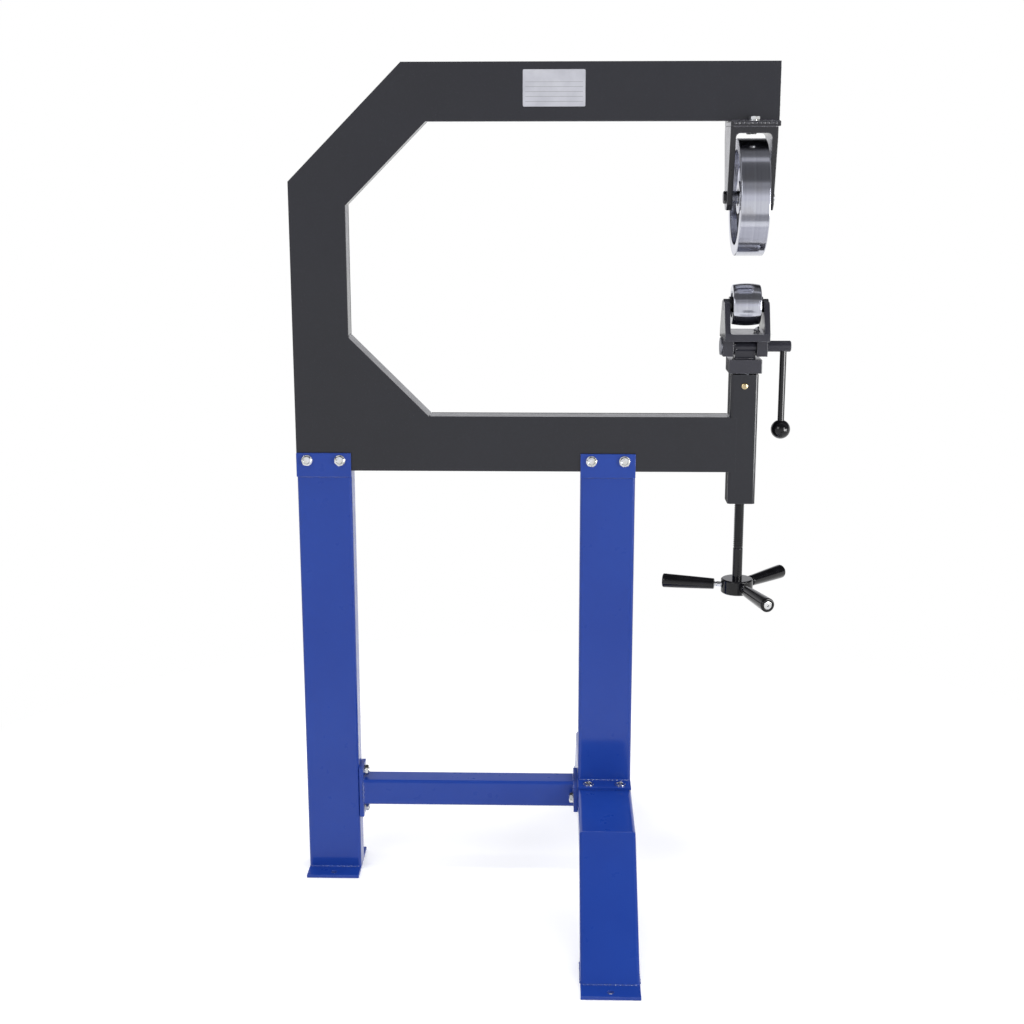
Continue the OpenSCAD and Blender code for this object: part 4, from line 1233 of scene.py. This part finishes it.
@dataclass
class Stand:
    """The bolted blue stand: two legs, a cross foot and a crossbar.

    Args:
        tubes: The CAD nodes of its tubes, each with its piece's name.
        plates: The CAD nodes of its plates, each with its piece's name.
        edge: The rounding of the plates' sawn edges, in millimetres.
    """

    tubes: tuple[tuple[str, str], ...] = (
        ("column_leg", "column_leg_tube"), ("front_leg", "front_leg_tube"),
        ("cross_foot_beam", "cross_foot_beam_tube"), ("cross_foot_front", "front_sloped_foot"),
        ("cross_foot_rear", "rear_sloped_foot"), ("crossbar", "crossbar_tube"))
    plates: tuple[tuple[str, str], ...] = (
        ("column_foot_plate", "column_floor_plate"), ("column_joint_plates", "column_joint_straps"),
        ("front_joint_plates", "front_joint_straps"), ("front_leg_flange", "front_leg_bolt_flange"),
        ("cross_foot_plate_front", "front_floor_plate"), ("cross_foot_plate_rear", "rear_floor_plate"),
        ("crossbar_plate_rear", "crossbar_rear_plate"), ("crossbar_plate_front", "crossbar_front_plate"))
    edge: float = 0.9

    def build_tubes(self) -> None:
        """Dresses the tubes."""
        for node, name in self.tubes:
            Shape.of_node(node).fit(name, STAND_PAINT, nodes=[node], crease=24)

    def build_plates(self) -> None:
        """Dresses the plates, with their edges broken."""
        for node, name in self.plates:
            dress(node, name, STAND_PAINT, self.edge)

    def build_welds(self) -> None:
        """Lays the stand's welds."""
        welds = Welds("stand_weld_beads", STAND_WELD, Body.FRAME)
        for leg, plate in (("column_leg", "column_foot_plate"), ("front_leg", "front_leg_flange")):
            tube, base = Seat.of(leg), Seat.of(plate).high.z
            low, high = (tube.low.x + 0.004, tube.low.y, base), (tube.high.x - 0.004, tube.high.y, base)
            welds.ring(low, high, 2.4, 9)
        for leg, strap in (("column_leg", "column_joint_plates"), ("front_leg", "front_joint_plates")):
            tube, plate = Seat.of(leg), Seat.of(strap)
            for y in (tube.low.y, tube.high.y):
                start, end = (tube.low.x + 0.006, y, plate.low.z), (tube.high.x - 0.006, y, plate.low.z)
                welds.run(start, end, 1.8)
        bar = Seat.of("crossbar")
        for x in (bar.low.x, bar.high.x):
            welds.ring((x, bar.low.y, bar.low.z), (x, bar.high.y, bar.high.z), 2.2, 8, gap=0.005)
        for side, end in ((-1, "front"), (1, "rear")):
            plate, foot = Seat.of("cross_foot_plate_" + end), Seat.of("cross_foot_" + end)
            outer = foot.low.y if side < 0 else foot.high.y
            top, inner = plate.high.z, outer - side * 0.076
            for x in (foot.low.x, foot.high.x):
                welds.run((x, outer - side * 0.004, top), (x, inner, top), 1.8, 9)
            for y in (outer, inner):
                welds.run((foot.low.x + 0.005, y, top), (foot.high.x - 0.005, y, top), 2.2, 9)
        welds.build()

    def build(self) -> None:
        """Builds the whole stand."""
        self.build_tubes()
        self.build_plates()
        self.build_welds()


@dataclass
class UpperWheel:
    """The flat upper wheel with its bearings, axle, spacers, yoke and mount plate.

    Args:
        rim: The rim's thickness, in millimetres.
        web: The web's thickness.
        hub: The hub's diameter.
        hub_wide: The hub's width.
        bearing: The bearings' width.
        bore: The axle's diameter.
        head_across: The axle head's size across the flats.
        head_high: The axle head's height.
    """

    rim: float = 19.0
    web: float = 14.0
    hub: float = 58.0
    hub_wide: float = 40.0
    bearing: float = 11.0
    bore: float = 15.0
    head_across: float = 19.0
    head_high: float = 5.0

    def build_wheel(self) -> None:
        """Turns the wheel: flat tread, rounded shoulders, dished faces and a bored hub."""
        seat = Seat.of("upper_wheel")
        radius, half, hub = seat.radius, seat.size.x / 2 / MM, self.hub_wide / 2
        seat_radius = Seat.of("upper_bearings").radius + RUNNING_GAP
        inner, web, shoulder = radius - self.rim, self.web / 2, hub - self.bearing
        right = [(seat_radius - 4, shoulder), (seat_radius, shoulder), (seat_radius, hub, 0.6),
                 (self.hub / 2, hub, 1.5), (self.hub / 2 + 1.5, web, 4), (inner - 1, web, 6),
                 (inner, half, 1.2), (radius, half, 1.6)]
        left = [(p[0], -p[1], *p[2:]) for p in reversed(right)]
        Shape.lathe(right + left, 192).move(along(seat.centre, Way.RIGHT)).fit(
            "flat_upper_wheel", TurnedSteel("upper_wheel_steel", Slot.GROUND_STEEL, tuple(seat.centre)),
            nodes=["upper_wheel"], crease=40)

    def build_axle(self) -> None:
        """Turns the axle bolt, with its hexagon head on the left, and the spacers."""
        seat = Seat.of("upper_axle")
        left, right, radius = seat.low.x, seat.high.x, self.bore / 2
        length = (right - left) / MM
        corner, flat, high = self.head_across / 2 / COS_30, self.head_across / 2, self.head_high
        head = Shape.hexagonal([(0, 0), (flat * 0.93, 0), (corner, 1.3), (corner, high - 0.3),
                                (flat, high), (0, high)], self.head_across)
        bare, place = length - 5, along(seat.middle(x=left), Way.RIGHT)
        head.add(Shape.lathe([(0, high - 0.2), (radius, high - 0.2), (radius, bare), (0, bare)], 48))
        head.move(place).fit("upper_axle_bolt", BLACK_OXIDE, nodes=["upper_axle"])
        stub = Shape.lathe([(0, bare), (radius, bare), (radius, length, 1.4), (0, length)], 48)
        dimple = [(0, length - 1.5), (1.6, length - 1.2), (2.2, length + 1), (0, length + 1)]
        stub.cut(Shape.lathe(dimple, 24))
        stub.move(place).fit("upper_axle_end", PIN_STEEL, Body.FRAME)
        dress("upper_spacers", "upper_axle_spacers", PIN_STEEL, 0.5)

    def build_mount(self) -> None:
        """Dresses the yoke and its mount plate, and lays the rough welds round them."""
        dress("upper_yoke", "upper_wheel_yoke", MOUNT_PAINT, 1.0, 3)
        dress("wheel_mount_plate", "wheel_mount_slab", MOUNT_PAINT, 1.2)
        plate, arm = Seat.of("wheel_mount_plate"), Seat.of("frame_top_arm")
        welds = Welds("mount_weld_beads", YOKE_WELD, Body.FRAME)
        top, middle = plate.high.z, plate.centre.z + 0.0012
        for y in (arm.low.y, arm.high.y):
            welds.run((plate.low.x + 0.003, y, top), (plate.high.x - 0.003, y, top), 3.2)
        welds.run((plate.low.x, arm.low.y, top), (plate.low.x, arm.high.y, top), 3.0)
        welds.run((plate.high.x, arm.low.y, top), (plate.high.x, arm.high.y, top), 2.2)
        for y in (plate.low.y + 0.002, plate.high.y - 0.002):
            welds.run((plate.low.x + 0.004, y, middle), (plate.high.x - 0.004, y, middle), 3.6, 7)
            welds.run((plate.low.x + 0.004, y, plate.low.z), (plate.high.x - 0.004, y, plate.low.z), 2.2)
        welds.build()

    def build(self) -> None:
        """Builds the upper wheel and all that carries it."""
        self.build_wheel()
        Bearings("upper_bearings", self.bearing, self.bore, Body.UPPER_WHEEL).build()
        self.build_axle()
        self.build_mount()


@dataclass
class Bearings:
    """A pair of sealed ball bearings on an axle across the frame.

    Args:
        node: The CAD node that holds the pair.
        wide: One bearing's width, in millimetres.
        bore: The axle's diameter, in millimetres.
        body: The body that they ride on.
    """

    node: str
    wide: float
    bore: float
    body: Body

    def build(self) -> None:
        """Turns both bearings' races and seals."""
        seat = Seat.of(self.node)
        outer, inner = seat.radius, self.bore / 2 + RUNNING_GAP
        races, seals, thick = Shape(), Shape(), (outer - inner) * 0.24
        for way, edge in ((Way.RIGHT, seat.high.x), (Way.LEFT, seat.low.x)):
            place = along(seat.middle(x=edge), way)
            races.add(Shape.lathe([(outer, -self.wide, 0.5), (outer, 0, 0.6), (outer - thick, 0, 0.2),
                                   (outer - thick, -self.wide)], 72), place)
            races.add(Shape.lathe([(inner + thick, -self.wide), (inner + thick, 0, 0.2), (inner, 0, 0.6),
                                   (inner, -self.wide, 0.5)], 72), place)
            low, high, mid = inner + thick - 0.2, outer - thick + 0.2, (inner + outer) / 2
            seals.add(Shape.lathe([(low, -1.6), (low, -0.5), (low + 0.9, -0.35, 0.3), (mid, -0.8, 0.6),
                                   (high - 0.9, -0.35, 0.3), (high, -0.5), (high, -1.6)], 72), place)
        races.fit(self.node + "_races", BEARING_STEEL, nodes=[self.node])
        seals.fit(self.node + "_seals", SEAL_RUBBER, self.body)


@dataclass
class AnvilWheel:
    """The crowned anvil wheel with its bearings, axle and spacers, in its slotted yoke.

    Args:
        crown: The radius of the tread's crown, in millimetres.
        bearing: The bearings' width.
        bore: The axle's diameter.
        dish: How deep the bearings sit in the wheel's faces.
    """

    crown: float = 125.0
    bearing: float = 12.0
    bore: float = 20.0
    dish: float = 3.0

    def build_wheel(self) -> None:
        """Turns the wheel with a crowned tread."""
        seat = Seat.of("anvil_wheel")
        radius, half = seat.radius, seat.size.x / 2 / MM
        seat_radius = Seat.of("anvil_bearings").radius + RUNNING_GAP
        shoulder = half - self.dish - self.bearing
        right = [(seat_radius - 4, shoulder), (seat_radius, shoulder), (seat_radius, half - self.dish),
                 (seat_radius + 2, half - self.dish, 0.4), (seat_radius + 2.6, half, 0.8)]
        count = 10
        for index in range(count + 1):
            x = half * (1 - index / count)
            drop = self.crown - math.sqrt(self.crown ** 2 - x ** 2)
            right.append((radius - drop, x, 1.8) if index == 0 else (radius - drop, x))
        left = [(p[0], -p[1], *p[2:]) for p in reversed(right[:-1])]
        Shape.lathe(right + left, 144).move(along(seat.centre, Way.RIGHT)).fit(
            "crowned_anvil_wheel", TurnedSteel("anvil_wheel_steel", Slot.GROUND_STEEL, tuple(seat.centre)),
            nodes=["anvil_wheel"], crease=40)

    def build_axle(self) -> None:
        """Turns the axle that lifts out of the yoke's slots, and its spacers."""
        seat = Seat.of("anvil_axle")
        length, radius = seat.size.x / MM, self.bore / 2
        axle = Shape.lathe([(0, 0), (radius, 0, 1.0), (radius, length, 1.0), (0, length)], 64)
        axle.move(along(seat.middle(x=seat.low.x), Way.RIGHT))
        axle.fit("anvil_axle_pin", SLIDE_STEEL, nodes=["anvil_axle"])
        dress("anvil_spacers", "anvil_axle_spacers", BLACK_OXIDE, 0.5)

    def build(self) -> None:
        """Builds the anvil wheel and its axle."""
        self.build_wheel()
        Bearings("anvil_bearings", self.bearing, self.bore, Body.ANVIL).build()
        self.build_axle()


@dataclass
class QuickRelease:
    """The anvil yoke, its ears, the knuckle they clasp and the eccentric lever.

    Args:
        rod: The lever rod's diameter, in millimetres.
        hub: The lever hub's diameter; not used.
        journal: The shaft's diameter in the ears.
        ears: An ear's thickness.
    """

    rod: float = 12.0
    hub: float = 20.0
    journal: float = 16.0
    ears: float = 19.0

    def build_yoke(self) -> None:
        """Dresses the yoke and ears, and welds them together."""
        dress("anvil_yoke", "anvil_wheel_yoke", YOKE_PAINT, 0.9)
        yoke, ears, shaft = Seat.of("anvil_yoke"), Seat.of("yoke_ears"), Seat.of("eccentric_shaft")
        bore, ear = self.journal / 2 + 0.08, self.ears * MM
        blocks, hole = Shape(), Shape.lathe([(0, 0), (bore, 0), (bore, 120), (0, 120)], 64)
        hole.move(along((ears.low.x - 0.01, ears.centre.y, shaft.centre.z), Way.RIGHT))
        for left in (ears.low.x, ears.high.x - ear):
            block = Shape.block((left, ears.low.y, ears.low.z), (left + ear, ears.high.y, ears.high.z))
            blocks.add(block.cut(hole).clean().bevel(0.8, 2))
        blocks.fit("yoke_lever_ears", YOKE_PAINT, nodes=["yoke_ears"])
        welds = Welds("yoke_weld_beads", YOKE_WELD, Body.ANVIL_YOKE)
        for y in (ears.low.y, ears.high.y):
            for start, end in ((ears.low.x, ears.low.x + ear), (ears.high.x - ear, ears.high.x)):
                welds.run((start + 0.002, y, yoke.low.z), (end - 0.002, y, yoke.low.z), 1.7)
        for x in (ears.low.x + ear, ears.high.x - ear):
            welds.run((x, ears.low.y + 0.002, yoke.low.z), (x, ears.low.y + 0.012, yoke.low.z), 1.5)
        for across, low in ((-0.0215, 0.0105), (-0.0185, 0.019)):
            start = Vector((ears.centre.x + across, ears.low.y, yoke.low.z - low))
            welds.run(start, start + Vector((0.0035, 0, 0.003)), 1.1)
        welds.build()
        # The retaining bolt is painted like the yoke; bright pin steel stands in for that paint to lift it
        # where it sits in shade, a painted highlight.
        dress("retaining_bolt", "shaft_retaining_bolt", PIN_STEEL, 0.5)

    def build_lever(self) -> None:
        """Turns the lever's shaft, end washer, rod and ball."""
        dress("eccentric_shaft", "eccentric_lever_shaft", YOKE_PAINT, 0.5, 2, 50)
        seat = Seat.of("shaft_end_washer")
        radius, thick = seat.radius, seat.size.x / MM
        washer = Shape.lathe([(0, 0), (radius, 0, 0.7), (radius, thick, 0.9), (0, thick)], 72)
        washer.move(along(seat.middle(x=seat.high.x), Way.LEFT))
        washer.fit("shaft_end_disc", DISC_STEEL, nodes=["shaft_end_washer"])
        seat = Seat.of("lever_rod")
        radius, length = self.rod / 2, seat.size.z / MM
        rod = Shape.lathe([(0, 0), (radius, 0), (radius, length, 0.8), (0, length)], 64)
        rod.move(along(seat.middle(z=seat.low.z), Way.UP))
        rod.fit("lever_rod_bar", BLACK_OXIDE, nodes=["lever_rod"])
        self.build_ball()

    def build_ball(self) -> None:
        """Moulds the ball, with a flat collar where the rod goes in."""
        seat = Seat.of("lever_knob")
        radius, collar = seat.size.x / 2, (self.rod / 2 + 1.2) * MM
        ball = Shape()
        bmesh.ops.create_uvsphere(ball.bm, u_segments=72, v_segments=48, radius=radius)
        ball.saw((0, 0, math.sqrt(radius ** 2 - collar ** 2)), Way.UP.value)
        ball.clean().bevel(0.3, 2, 20).move(along(seat.middle(z=seat.low.z + radius), Way.UP))
        ball.fit("lever_ball_knob", PHENOLIC, nodes=["lever_knob"])

    def build(self) -> None:
        """Builds the quick release."""
        self.build_yoke()
        self.build_lever()


@dataclass
class Slide:
    """The square slide in the post, with its head, knuckle, pins and thrust washer.

    Args:
        pieces: The CAD nodes, each with its piece's name and finish, its edges' width in millimetres, their
            segments and the least angle that counts as sharp.
    """

    pieces: tuple[tuple[str, str, Finish, float, int, float], ...] = (
        ("slide_bar", "square_slide_bar", SLIDE_STEEL, 0.6, 2, 32),
        ("slide_head", "slide_head_block", YOKE_PAINT, 0.9, 2, 32),
        ("release_knuckle", "release_knuckle_sleeve", YOKE_PAINT, 0.6, 2, 40),
        ("guide_pins", "yoke_guide_pins", PIN_STEEL, 0.5, 2, 32),
        ("thrust_washer", "screw_thrust_washer", PIN_STEEL, 0.3, 2, 32))

    def build(self) -> None:
        """Dresses the slide and welds the knuckle to its head."""
        for piece in self.pieces:
            dress(*piece)
        head, knuckle = Seat.of("slide_head"), Seat.of("release_knuckle")
        welds, top = Welds("knuckle_weld_beads", YOKE_WELD, Body.SLIDE), head.high.z
        for y in (-0.009, 0.009):
            welds.run((knuckle.low.x + 0.005, y, top), (knuckle.high.x - 0.005, y, top), 2.2)
        for x in (knuckle.low.x + 0.0018, knuckle.high.x - 0.0018):
            welds.run((x, -0.009, top + 0.0005), (x, 0.009, top + 0.0005), 1.5)
            for y in (-0.0095, -0.0045, 0.0045, 0.0095):
                welds.run((x, y, top), (x, y, top + 0.0095), 1.5)
        welds.build()


@dataclass
class Handwheel:
    """The lift screw with its hub and three turning grips.

    Args:
        screw: The screw's diameter, in millimetres.
        pitch: Its rise per turn.
        shank: The plain shank's length above the hub.
        grip_start: How far from the axis a grip starts.
        grip_reach: How far from the axis a grip ends.
        turn: The first grip's angle, in degrees.
        grips: How many grips there are.
        socket: The key's size across the flats in a spindle's end.
    """

    screw: float = 18.0
    pitch: float = 4.0
    shank: float = 58.0
    grip_start: float = 42.0
    grip_reach: float = 139.0
    turn: float = 47.0
    grips: int = 3
    socket: float = 5.0

    def build_screw(self) -> None:
        """Turns the screw: plain shank, helical thread up to the slide, and a spigot."""
        seat, hub = Seat.of("lift_screw"), Seat.of("handwheel_hub")
        post, washer = Seat.of("slide_post"), Seat.of("thrust_washer")
        radius, base = self.screw / 2, seat.low.z / MM
        top, end = washer.low.z / MM, seat.high.z / MM
        root, spigot = radius - 1.1, radius * 2 / 3
        thread_low, thread_high = hub.high.z / MM + self.shank, post.low.z / MM + 20
        screw = Shape.lathe([(0, base), (radius, base, 0.8), (radius, thread_low, 0.8),
                             (root, thread_low + 1), (root, thread_high), (radius, thread_high + 1),
                             (radius, top), (spigot, top), (spigot, end, 0.8), (0, end)], 64)
        screw.add(Shape.thread(root, radius, self.pitch, thread_low + 0.2, thread_high + 1))
        screw.move(Matrix.Translation((seat.centre.x, seat.centre.y, 0)))
        screw.fit("lift_screw_bar", BLACK_OXIDE, nodes=["lift_screw"])

    def build_hub(self) -> None:
        """Turns the hub."""
        seat = Seat.of("handwheel_hub")
        radius, high, bore = seat.size.x / 2 / MM, seat.size.z / MM, self.screw / 2 + RUNNING_GAP
        hub = Shape.lathe([(bore, 0), (radius - 2, 0, 0.6), (radius, 2, 0.6), (radius, high - 2, 0.6),
                           (radius - 2, high, 0.6), (bore, high)], 96)
        hub.move(along(seat.middle(z=seat.low.z), Way.UP))
        hub.fit("handwheel_hub_boss", BLACK_OXIDE, nodes=["handwheel_hub"])

    def build_grips(self) -> None:
        """Turns the three grips and their spindles."""
        centre, length = Seat.of("handwheel_hub").centre, self.grip_reach - self.grip_start
        reach, start, edge, bore = self.grip_reach, self.grip_start, 29.5, 4.2 + RUNNING_GAP
        spindles = Shape()
        for index in range(self.grips):
            angle = math.radians(self.turn + index * 360 / self.grips)
            way = Vector((math.cos(angle), math.sin(angle), 0))
            grip = Shape.lathe([(bore, 0, 0.3), (10, 0, 2.2), (11.6, length * 0.45), (12.7, length * 0.8),
                                (13, length - 6), (13, length, 2.6), (7.9, length, 0.5), (7.9, length - 3.4),
                                (bore, length - 3.4)], 72)
            grip.move(along(centre + way * start * MM, way))
            node = "grip_%d" % (index + 1)
            grip.fit(node + "_handle", PHENOLIC, nodes=[node])
            spindle = Shape.lathe([(0, edge - 12), (5, edge - 12), (5, start - 4.5, 0.4), (4.1, start - 3.6),
                                   (4.1, start - 1.6), (4.9, start - 1.2, 0.2), (4.9, start - 0.4),
                                   (4.2, start - 0.4), (4.2, reach - 3), (7.5, reach - 3, 0.3),
                                   (7.5, reach - 0.3, 0.5), (0, reach)], 48)
            low, high = reach - 2.4, reach + 2
            spindle.cut(Shape.hexagonal([(0, low), (3.4, low), (3.4, high), (0, high)], self.socket))
            spindles.add(spindle, along(centre, way))
        spindles.fit("grip_spindle_bolts", ZINC, nodes=["grip_spindles"])

    def build(self) -> None:
        """Builds the screw and the handwheel."""
        self.build_screw()
        self.build_hub()
        self.build_grips()


# Studio


@dataclass
class Studio:
    """A pale floor, soft lamps and the photograph's camera.

    Args:
        floor_size: The floor's side, in metres.
        yaw: The camera's turn, in radians.
        pitch: Its tilt down.
        roll: Its lean.
        stand: Its place in millimetres, measured from the wheels' plane, the frame's middle and the floor.
        focal: Its focal length in pixels of the photograph.
        daylight: How strongly the sky lights dull surfaces.
        bands: The sky that bright metal mirrors, as angles round X in degrees and levels where 1 is white.
        lamps: Each lamp's name, place, aim, width, height, power, and whether it is mirrored and lights.
        cards: Each card's name, lowest corner, highest corner and level where 1 is white.
    """

    floor_size: float = 30.0
    yaw: float = -0.02829445
    pitch: float = 0.22849756
    roll: float = 0.00147863
    stand: tuple[float, float, float] = (-337.889, -2840.925, 1368.050)
    focal: float = 1578.245
    daylight: float = 0.55
    bands: tuple[tuple[float, float], ...] = (
        (-180, 0.95), (-92, 0.9), (-5, 0.9), (4, 0.95), (10, 0.62), (17, 0.45), (20, 0.33), (29, 0.42),
        (33, 0.13), (60, 0.13), (74, 0.16), (77, 0.62), (83, 0.62), (87, 0.19), (112, 0.15), (122, 0.03),
        (150, 0.05), (165, 0.95))
    lamps: tuple[tuple[str, Point, Point, float, float, float, bool, bool], ...] = (
        ("front_left_lamp", (-2.4, -3.4, 2.6), (0, 0, 0.8), 2.0, 2.0, 42, True, True),
        ("front_right_lamp", (2.4, -2.4, 1.3), (0.2, 0, 0.8), 0.8, 1.8, 36, True, True),
        ("right_glint_lamp", (1.83, -1.03, 0.72), (0.354, 0, 0.75), 1.1, 0.64, 26, True, False),
        ("overhead_lamp", (0.1, -0.29, 3.6), (0.1, -0.29, 0), 2.6, 0.44, 26, False, True),
        ("back_left_lamp", (-2.4, 3.2, 2.4), (0, 0, 0.8), 1.8, 2.0, 34, False, True),
        ("back_right_lamp", (2.6, 3.0, 2.4), (0, 0, 0.8), 1.8, 2.0, 34, False, True))
    cards: tuple[tuple[str, Point, Point, float], ...] = (
        ("studio_pale_card", (0.24, -0.9, 0.002), (0.66, 0.05, 0.004), 0.76),
        ("studio_grey_card", (0.32, -2.2, 0.002), (0.92, -1.3, 0.004), 0.39),
        ("studio_black_card", (0.06, 1.0, 0.3), (0.31, 1.004, 0.92), 0.02))

    def build_floor(self) -> None:
        """Lays the floor, which keeps the machine's shadow and is white elsewhere."""
        floor = Shape()
        bmesh.ops.create_grid(floor.bm, x_segments=1, y_segments=1, size=self.floor_size / 2)
        piece = floor.move(Matrix.Translation((0, 0, -0.0005))).loose("studio_floor")
        recipe = Recipe("pale_floor")
        path = recipe.node("ShaderNodeLightPath").outputs
        seen = recipe.sum("MAXIMUM", recipe.sum("MAXIMUM", path["Is Camera Ray"], path["Is Glossy Ray"]),
                          path["Is Transmission Ray"])
        grain = recipe.blend(recipe.cloud(3.0, 2), (0.80, 0.80, 0.81, 1), (0.84, 0.84, 0.85, 1))
        matt = recipe.node("ShaderNodeBsdfDiffuse", {"Color": grain}).outputs[0]
        glow = recipe.node("ShaderNodeEmission", {"Strength": recipe.sum("MULTIPLY", seen, 0.42)}).outputs[0]
        near = recipe.node("ShaderNodeAddShader", {0: matt, 1: glow}).outputs[0]
        reach = recipe.node("ShaderNodeVectorMath", {0: recipe.place()}, operation="LENGTH").outputs["Value"]
        fade = recipe.sum("MULTIPLY", recipe.spread(reach, 0.8, 1.5), seen)
        white = recipe.node("ShaderNodeEmission", {"Strength": 1.0}).outputs[0]
        recipe.stage(piece, recipe.node("ShaderNodeMixShader", {0: fade, 1: near, 2: white}).outputs[0])

    def build_sky(self) -> None:
        """Sets a plain sky: white to the camera, banded where bright metal mirrors it."""
        world = bpy.data.worlds.new("studio_sky")
        bpy.context.scene.world = world
        wiring = Wiring(world)
        place = wiring.node("ShaderNodeTexCoord").outputs["Generated"]
        split = wiring.node("ShaderNodeSeparateXYZ", {0: place}).outputs
        turn = wiring.sum("ARCTAN2", split[2], wiring.sum("MULTIPLY", split[1], -1))
        limits = {"Value": turn, "From Min": -math.pi, "From Max": math.pi}
        ramp = wiring.node("ShaderNodeValToRGB", {0: wiring.node("ShaderNodeMapRange", limits).outputs[0]})
        stops = ramp.color_ramp.elements
        stops.remove(stops[1])
        for index, (angle, level) in enumerate(self.bands):
            share = (angle + 180) / 360
            stop = stops[0] if index == 0 else stops.new(share)
            stop.position = share
            stop.color = (level, level, level * 1.04, 1)
        banded = wiring.node("ShaderNodeBackground", {"Color": ramp.outputs[0]}).outputs[0]
        white = wiring.node("ShaderNodeBackground", {"Color": WHITE}).outputs[0]
        soft = wiring.node("ShaderNodeBackground", {"Color": WHITE, "Strength": self.daylight}).outputs[0]
        path = wiring.node("ShaderNodeLightPath").outputs
        lit = wiring.node("ShaderNodeMixShader", {0: path["Is Glossy Ray"], 1: soft, 2: banded}).outputs[0]
        seen = wiring.node("ShaderNodeMixShader", {0: path["Is Camera Ray"], 1: lit, 2: white}).outputs[0]
        wiring.node("ShaderNodeOutputWorld", {"Surface": seen})

    def hang_lamp(self, name: str, place: Point, aim: Point, wide: float, high: float, power: float,
                  mirrored: bool, lighting: bool) -> None:
        """Hangs one soft lamp.

        Args:
            name: The lamp's name.
            place: Where it hangs, in metres.
            aim: What it points at.
            wide: Its width.
            high: Its height.
            power: Its power in watts.
            mirrored: Whether gloss and bright metal show it.
            lighting: Whether it lights dull surfaces.
        """
        lamp = bpy.data.lights.new(name, "AREA")
        lamp.shape, lamp.size, lamp.size_y, lamp.energy = "RECTANGLE", wide, high, power
        thing = bpy.data.objects.new(name, lamp)
        thing.matrix_world = (Matrix.Translation(Vector(place))
                              @ (Vector(aim) - Vector(place)).to_track_quat("-Z", "Y").to_matrix().to_4x4())
        thing.visible_camera, thing.visible_glossy, thing.visible_diffuse = False, mirrored, lighting
        bpy.context.scene.collection.objects.link(thing)

    def set_card(self, name: str, low: Point, high: Point, level: float) -> None:
        """Sets up a photographer's card, which only gloss and bright metal show.

        Args:
            name: The card's name.
            low: Its lowest corner, in metres.
            high: Its highest corner.
            level: How bright it is, where 1 is white.
        """
        piece = Shape.block(low, high).loose(name)
        recipe = Recipe(name)
        grain = recipe.spread(recipe.cloud(4.0, 2), 0.3, 0.7, (level * 0.9, level * 1.1))
        shown = recipe.node("ShaderNodeEmission", {"Color": (1, 1, 1.05, 1), "Strength": grain}).outputs[0]
        for ray in ("camera", "diffuse", "shadow", "transmission"):
            setattr(piece, "visible_" + ray, False)
        recipe.stage(piece, shown)

    def build_camera(self) -> None:
        """Sets up the photograph's camera."""
        wheel = Seat.of("upper_wheel").centre.x
        place = Vector(self.stand) * MM + Vector((wheel, 0, 0))
        ahead = Vector((math.sin(self.yaw) * math.cos(self.pitch), math.cos(self.yaw) * math.cos(self.pitch),
                        -math.sin(self.pitch)))
        right = Vector((math.cos(self.yaw), -math.sin(self.yaw), 0))
        down = ahead.cross(right)
        side = right * math.cos(self.roll) + down * math.sin(self.roll)
        below = down * math.cos(self.roll) - right * math.sin(self.roll)
        lens = bpy.data.cameras.new("photo_camera")
        lens.sensor_width = SENSOR
        lens.lens = self.focal / PICTURE * SENSOR
        lens.clip_end = 100.0
        camera = bpy.data.objects.new("photo_camera", lens)
        turn = Matrix((side, -below, -ahead)).transposed().to_4x4()
        camera.matrix_world = Matrix.Translation(place) @ turn
        bpy.context.scene.collection.objects.link(camera)
        bpy.context.scene.camera = camera

    def build(self) -> None:
        """Sets the whole studio up."""
        self.build_camera()
        self.build_floor()
        for card in self.cards:
            self.set_card(*card)
        self.build_sky()
        for lamp in self.lamps:
            self.hang_lamp(*lamp)
        bpy.context.scene.view_settings.view_transform = "Standard"


def main() -> None:
    """Builds the machine and its studio, one sub-assembly at a time."""
    logging.basicConfig(level=logging.INFO, format="%(name)s %(message)s")
    Studio().build()
    for assembly in (MachineFrame(), Stand(), Fasteners(), UpperWheel(), AnvilWheel(), QuickRelease(),
                     Slide(), Handwheel()):
        LOG.info("building %s", type(assembly).__name__)
        assembly.build()


if __name__ == "__main__":
    main()
